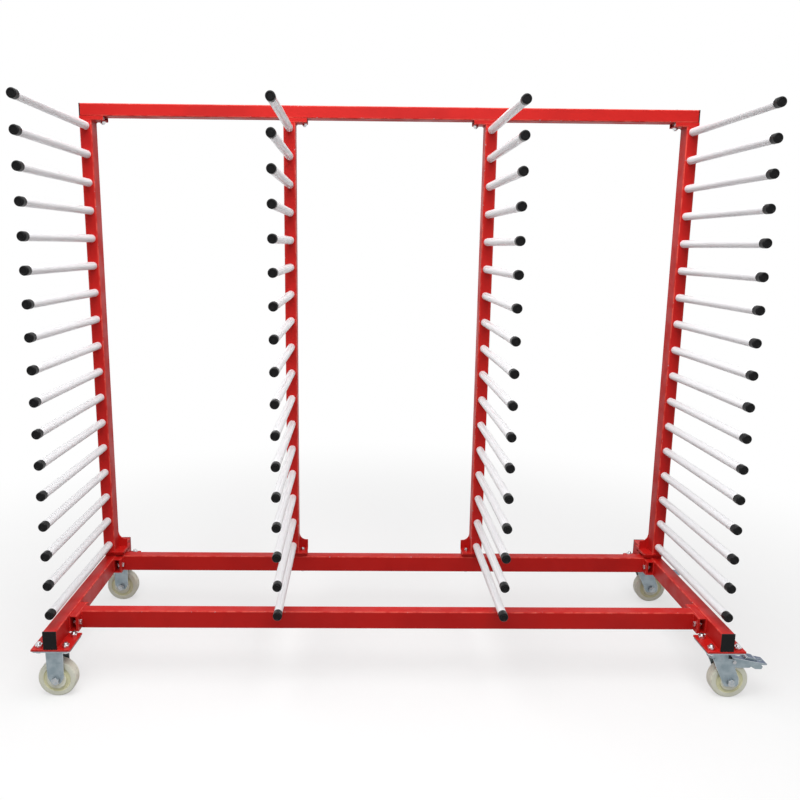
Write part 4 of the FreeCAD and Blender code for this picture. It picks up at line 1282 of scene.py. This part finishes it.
class RACK_OT_wheels(bpy.types.Operator):
    """Ivory wheels"""

    bl_idname = "rack.wheels"
    bl_label = "Wheels"

    def execute(self, context):
        size = sizes()
        for name in FIXED_NAMES + SWIVEL_NAMES:
            node = "wheel_" + name
            low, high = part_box(node)
            centre = (low + high) / 2
            tread = (high.z - low.z) / 2
            hub_half = (high.y - low.y) / 2
            bush_low, bush_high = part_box("wheel_bush_" + name)
            bore = (bush_high.z - bush_low.z) / 2
            hub = size.hub_diameter / 2
            web = size.web_thick / 2
            rim = tread - size.rim_thick
            half = size.wheel_width / 2
            right = [
                (hub_half, bore), (hub_half, hub), (web, hub + 0.002), (web, rim - 0.002),
                (half, rim), (half, tread),
            ]
            left = [(-across, radius) for across, radius in reversed(right)]
            mesh = new_mesh()
            verts = lathe(mesh, right + left, centre, AWAY, steps=64, closed=True)
            treads = []
            for side in (-1.0, 1.0):
                treads += ring_edges(verts, centre, AWAY, half * side, tread)
            bevel(mesh, treads, size.tread_round, 5)
            soften(mesh, mesh.verts, WHEEL_EDGE, 2, WHEEL_TURN)
            self.mark(mesh, centre, hub, rim, tread)
            piece(mesh, "moulded_" + node, "nylon", (node,))
            keep_node("wheel_bush_" + name, "plain_steel")
        return {"FINISHED"}

    def mark(self, mesh, centre, hub, rim, tread):
        """Mark the thin web, for its painted shade, and the running face."""
        shaded_web = []
        running = []
        for face in mesh.faces:
            offset = face.calc_center_median() - centre
            offset.y = 0.0
            if hub < offset.length < rim:
                shaded_web.append(face)
            elif offset.length > tread - 0.003:
                running.append(face)
        mark_faces(mesh, "shade_and_reflection_mark", shaded_web)
        mark_faces(mesh, "tread_mark", running)


class RACK_OT_stage(bpy.types.Operator):
    """Floor, soft lamps, white surroundings and the camera"""

    bl_idname = "rack.stage"
    bl_label = "Stage"

    def execute(self, context):
        self.floor(context)
        self.surroundings(context)
        stage = context.scene.rack_stage
        self.lamp(
            context, "Overhead lamp", place=(-0.3, -0.9, 3.1), target=(0.0, -0.1, 0.5), width=2.6,
            power=stage.overhead,
        )
        self.lamp(
            context, "Front lamp", place=(0.3, -3.2, 3.2), target=(0.0, 0.0, 1.5), width=2.0,
            power=stage.front,
        )
        self.camera(context)
        context.scene.view_settings.view_transform = "Standard"
        return {"FINISHED"}

    def seen(self, tree):
        """One for rays that show the background: camera, mirror and see-through rays."""
        path = tree.nodes.new("ShaderNodeLightPath")
        value = path.outputs["Is Camera Ray"]
        for name in ("Is Glossy Ray", "Is Transmission Ray"):
            largest = tree.nodes.new("ShaderNodeMath")
            largest.operation = "MAXIMUM"
            tree.links.new(value, largest.inputs[0])
            tree.links.new(path.outputs[name], largest.inputs[1])
            value = largest.outputs["Value"]
        return value

    def floor(self, context):
        """Pale floor that turns into the white background far from the rack."""
        mesh = bmesh.new()
        bmesh.ops.create_grid(mesh, x_segments=1, y_segments=1, size=14.0)
        data = bpy.data.meshes.new("floor")
        mesh.to_mesh(data)
        mesh.free()
        floor = bpy.data.objects.new("floor", data)
        context.scene.collection.objects.link(floor)
        data.materials.append(self.floor_finish())

    def floor_finish(self):
        """Matt floor, mixed with plain white by its share, which grows with the distance from the rack."""
        finish = Finish("pale_floor")
        finish.set(Roughness=0.9, Specular_IOR_Level=0.0)
        seen = self.seen(finish.tree)
        shade = finish.mix(seen, colours().floor_bounce, colours().floor)
        finish.link(shade, finish.surface.inputs["Base Color"])
        distance = finish.add("ShaderNodeVectorMath")
        distance.operation = "LENGTH"
        finish.link(finish.place, distance.inputs[0])
        growth = finish.spread(distance.outputs["Value"], low=0.9, high=2.6, start=0.6)
        share = finish.math("MULTIPLY", growth, seen)
        white = finish.add("ShaderNodeEmission").outputs["Emission"]
        self.blend(finish.tree, share, finish.surface.outputs["BSDF"], white, finish.output)
        return finish.material

    def blend(self, tree, share, first, second, output):
        """Show the second shader by its share and the first one by the rest."""
        node = tree.nodes.new("ShaderNodeMixShader")
        for source, socket in zip((share, first, second), node.inputs):
            tree.links.new(source, socket)
        tree.links.new(node.outputs["Shader"], output.inputs["Surface"])

    def surroundings(self, context):
        world = bpy.data.worlds.new("studio")
        context.scene.world = world
        world.use_nodes = True
        tree = world.node_tree
        light = tree.nodes["Background"]
        light.inputs["Strength"].default_value = context.scene.rack_stage.ambient
        light.inputs["Color"].default_value = WHITE
        white = tree.nodes.new("ShaderNodeBackground")
        white.inputs["Color"].default_value = WHITE
        shaders = (light.outputs["Background"], white.outputs["Background"])
        self.blend(tree, self.seen(tree), *shaders, tree.nodes["World Output"])

    def lamp(self, context, name, place, target, width, power):
        data = bpy.data.lights.new(name, "AREA")
        data.shape = "SQUARE"
        data.size = width
        data.energy = power
        lamp = bpy.data.objects.new(name, data)
        lamp.location = place
        lamp.rotation_euler = (Vector(target) - Vector(place)).to_track_quat("-Z", "Y").to_euler()
        context.scene.collection.objects.link(lamp)

    def camera(self, context):
        stage = context.scene.rack_stage
        data = bpy.data.cameras.new("camera")
        data.sensor_width = SENSOR_WIDTH
        data.lens = stage.lens
        data.shift_x = stage.shift
        camera = bpy.data.objects.new("camera", data)
        pitch, roll, yaw = stage.camera_turn
        turn = Matrix.Rotation(yaw, 4, "Z") @ Matrix.Rotation(pitch, 4, "X") @ Matrix.Rotation(roll, 4, "Y")
        level = Matrix.Rotation(math.pi / 2, 4, "X")
        camera.matrix_world = Matrix.Translation(stage.camera_place) @ turn @ level
        context.scene.collection.objects.link(camera)
        context.scene.camera = camera


OPERATORS = (
    RACK_OT_tubes, RACK_OT_plugs, RACK_OT_heads, RACK_OT_feet, RACK_OT_joints, RACK_OT_arms,
    RACK_OT_fasteners, RACK_OT_fixed_casters, RACK_OT_swivel_casters, RACK_OT_brakes,
    RACK_OT_wheels, RACK_OT_stage,
)


class RACK_PT_panel(bpy.types.Panel):
    """Sizes, colours and build steps of the rack"""

    bl_idname = "RACK_PT_panel"
    bl_label = "Panel drying rack"
    bl_space_type = "VIEW_3D"
    bl_region_type = "UI"
    bl_category = "Rack"

    def draw(self, context):
        scene = context.scene
        for group in (scene.rack_sizes, scene.rack_colours, scene.rack_stage):
            box = self.layout.box()
            for name in group.__annotations__:
                box.prop(group, name)
        for operator in OPERATORS:
            self.layout.operator(operator.bl_idname)


GROUPS = {"rack_sizes": RackSizes, "rack_colours": RackColours, "rack_stage": RackStage}


def register():
    for name, group in GROUPS.items():
        bpy.utils.register_class(group)
        setattr(bpy.types.Scene, name, bpy.props.PointerProperty(type=group))
    for operator in OPERATORS:
        bpy.utils.register_class(operator)
    bpy.utils.register_class(RACK_PT_panel)


def unregister():
    bpy.utils.unregister_class(RACK_PT_panel)
    for operator in reversed(OPERATORS):
        bpy.utils.unregister_class(operator)
    for name, group in reversed(GROUPS.items()):
        delattr(bpy.types.Scene, name)
        bpy.utils.unregister_class(group)


def main():
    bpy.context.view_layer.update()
    register()
    bpy.ops.rack.tubes()
    bpy.ops.rack.plugs()
    bpy.ops.rack.heads()
    bpy.ops.rack.feet()
    bpy.ops.rack.joints()
    bpy.ops.rack.arms()
    bpy.ops.rack.fasteners()
    bpy.ops.rack.fixed_casters()
    bpy.ops.rack.swivel_casters()
    bpy.ops.rack.brakes()
    bpy.ops.rack.wheels()
    bpy.ops.rack.stage()


if __name__ == "__main__":
    main()
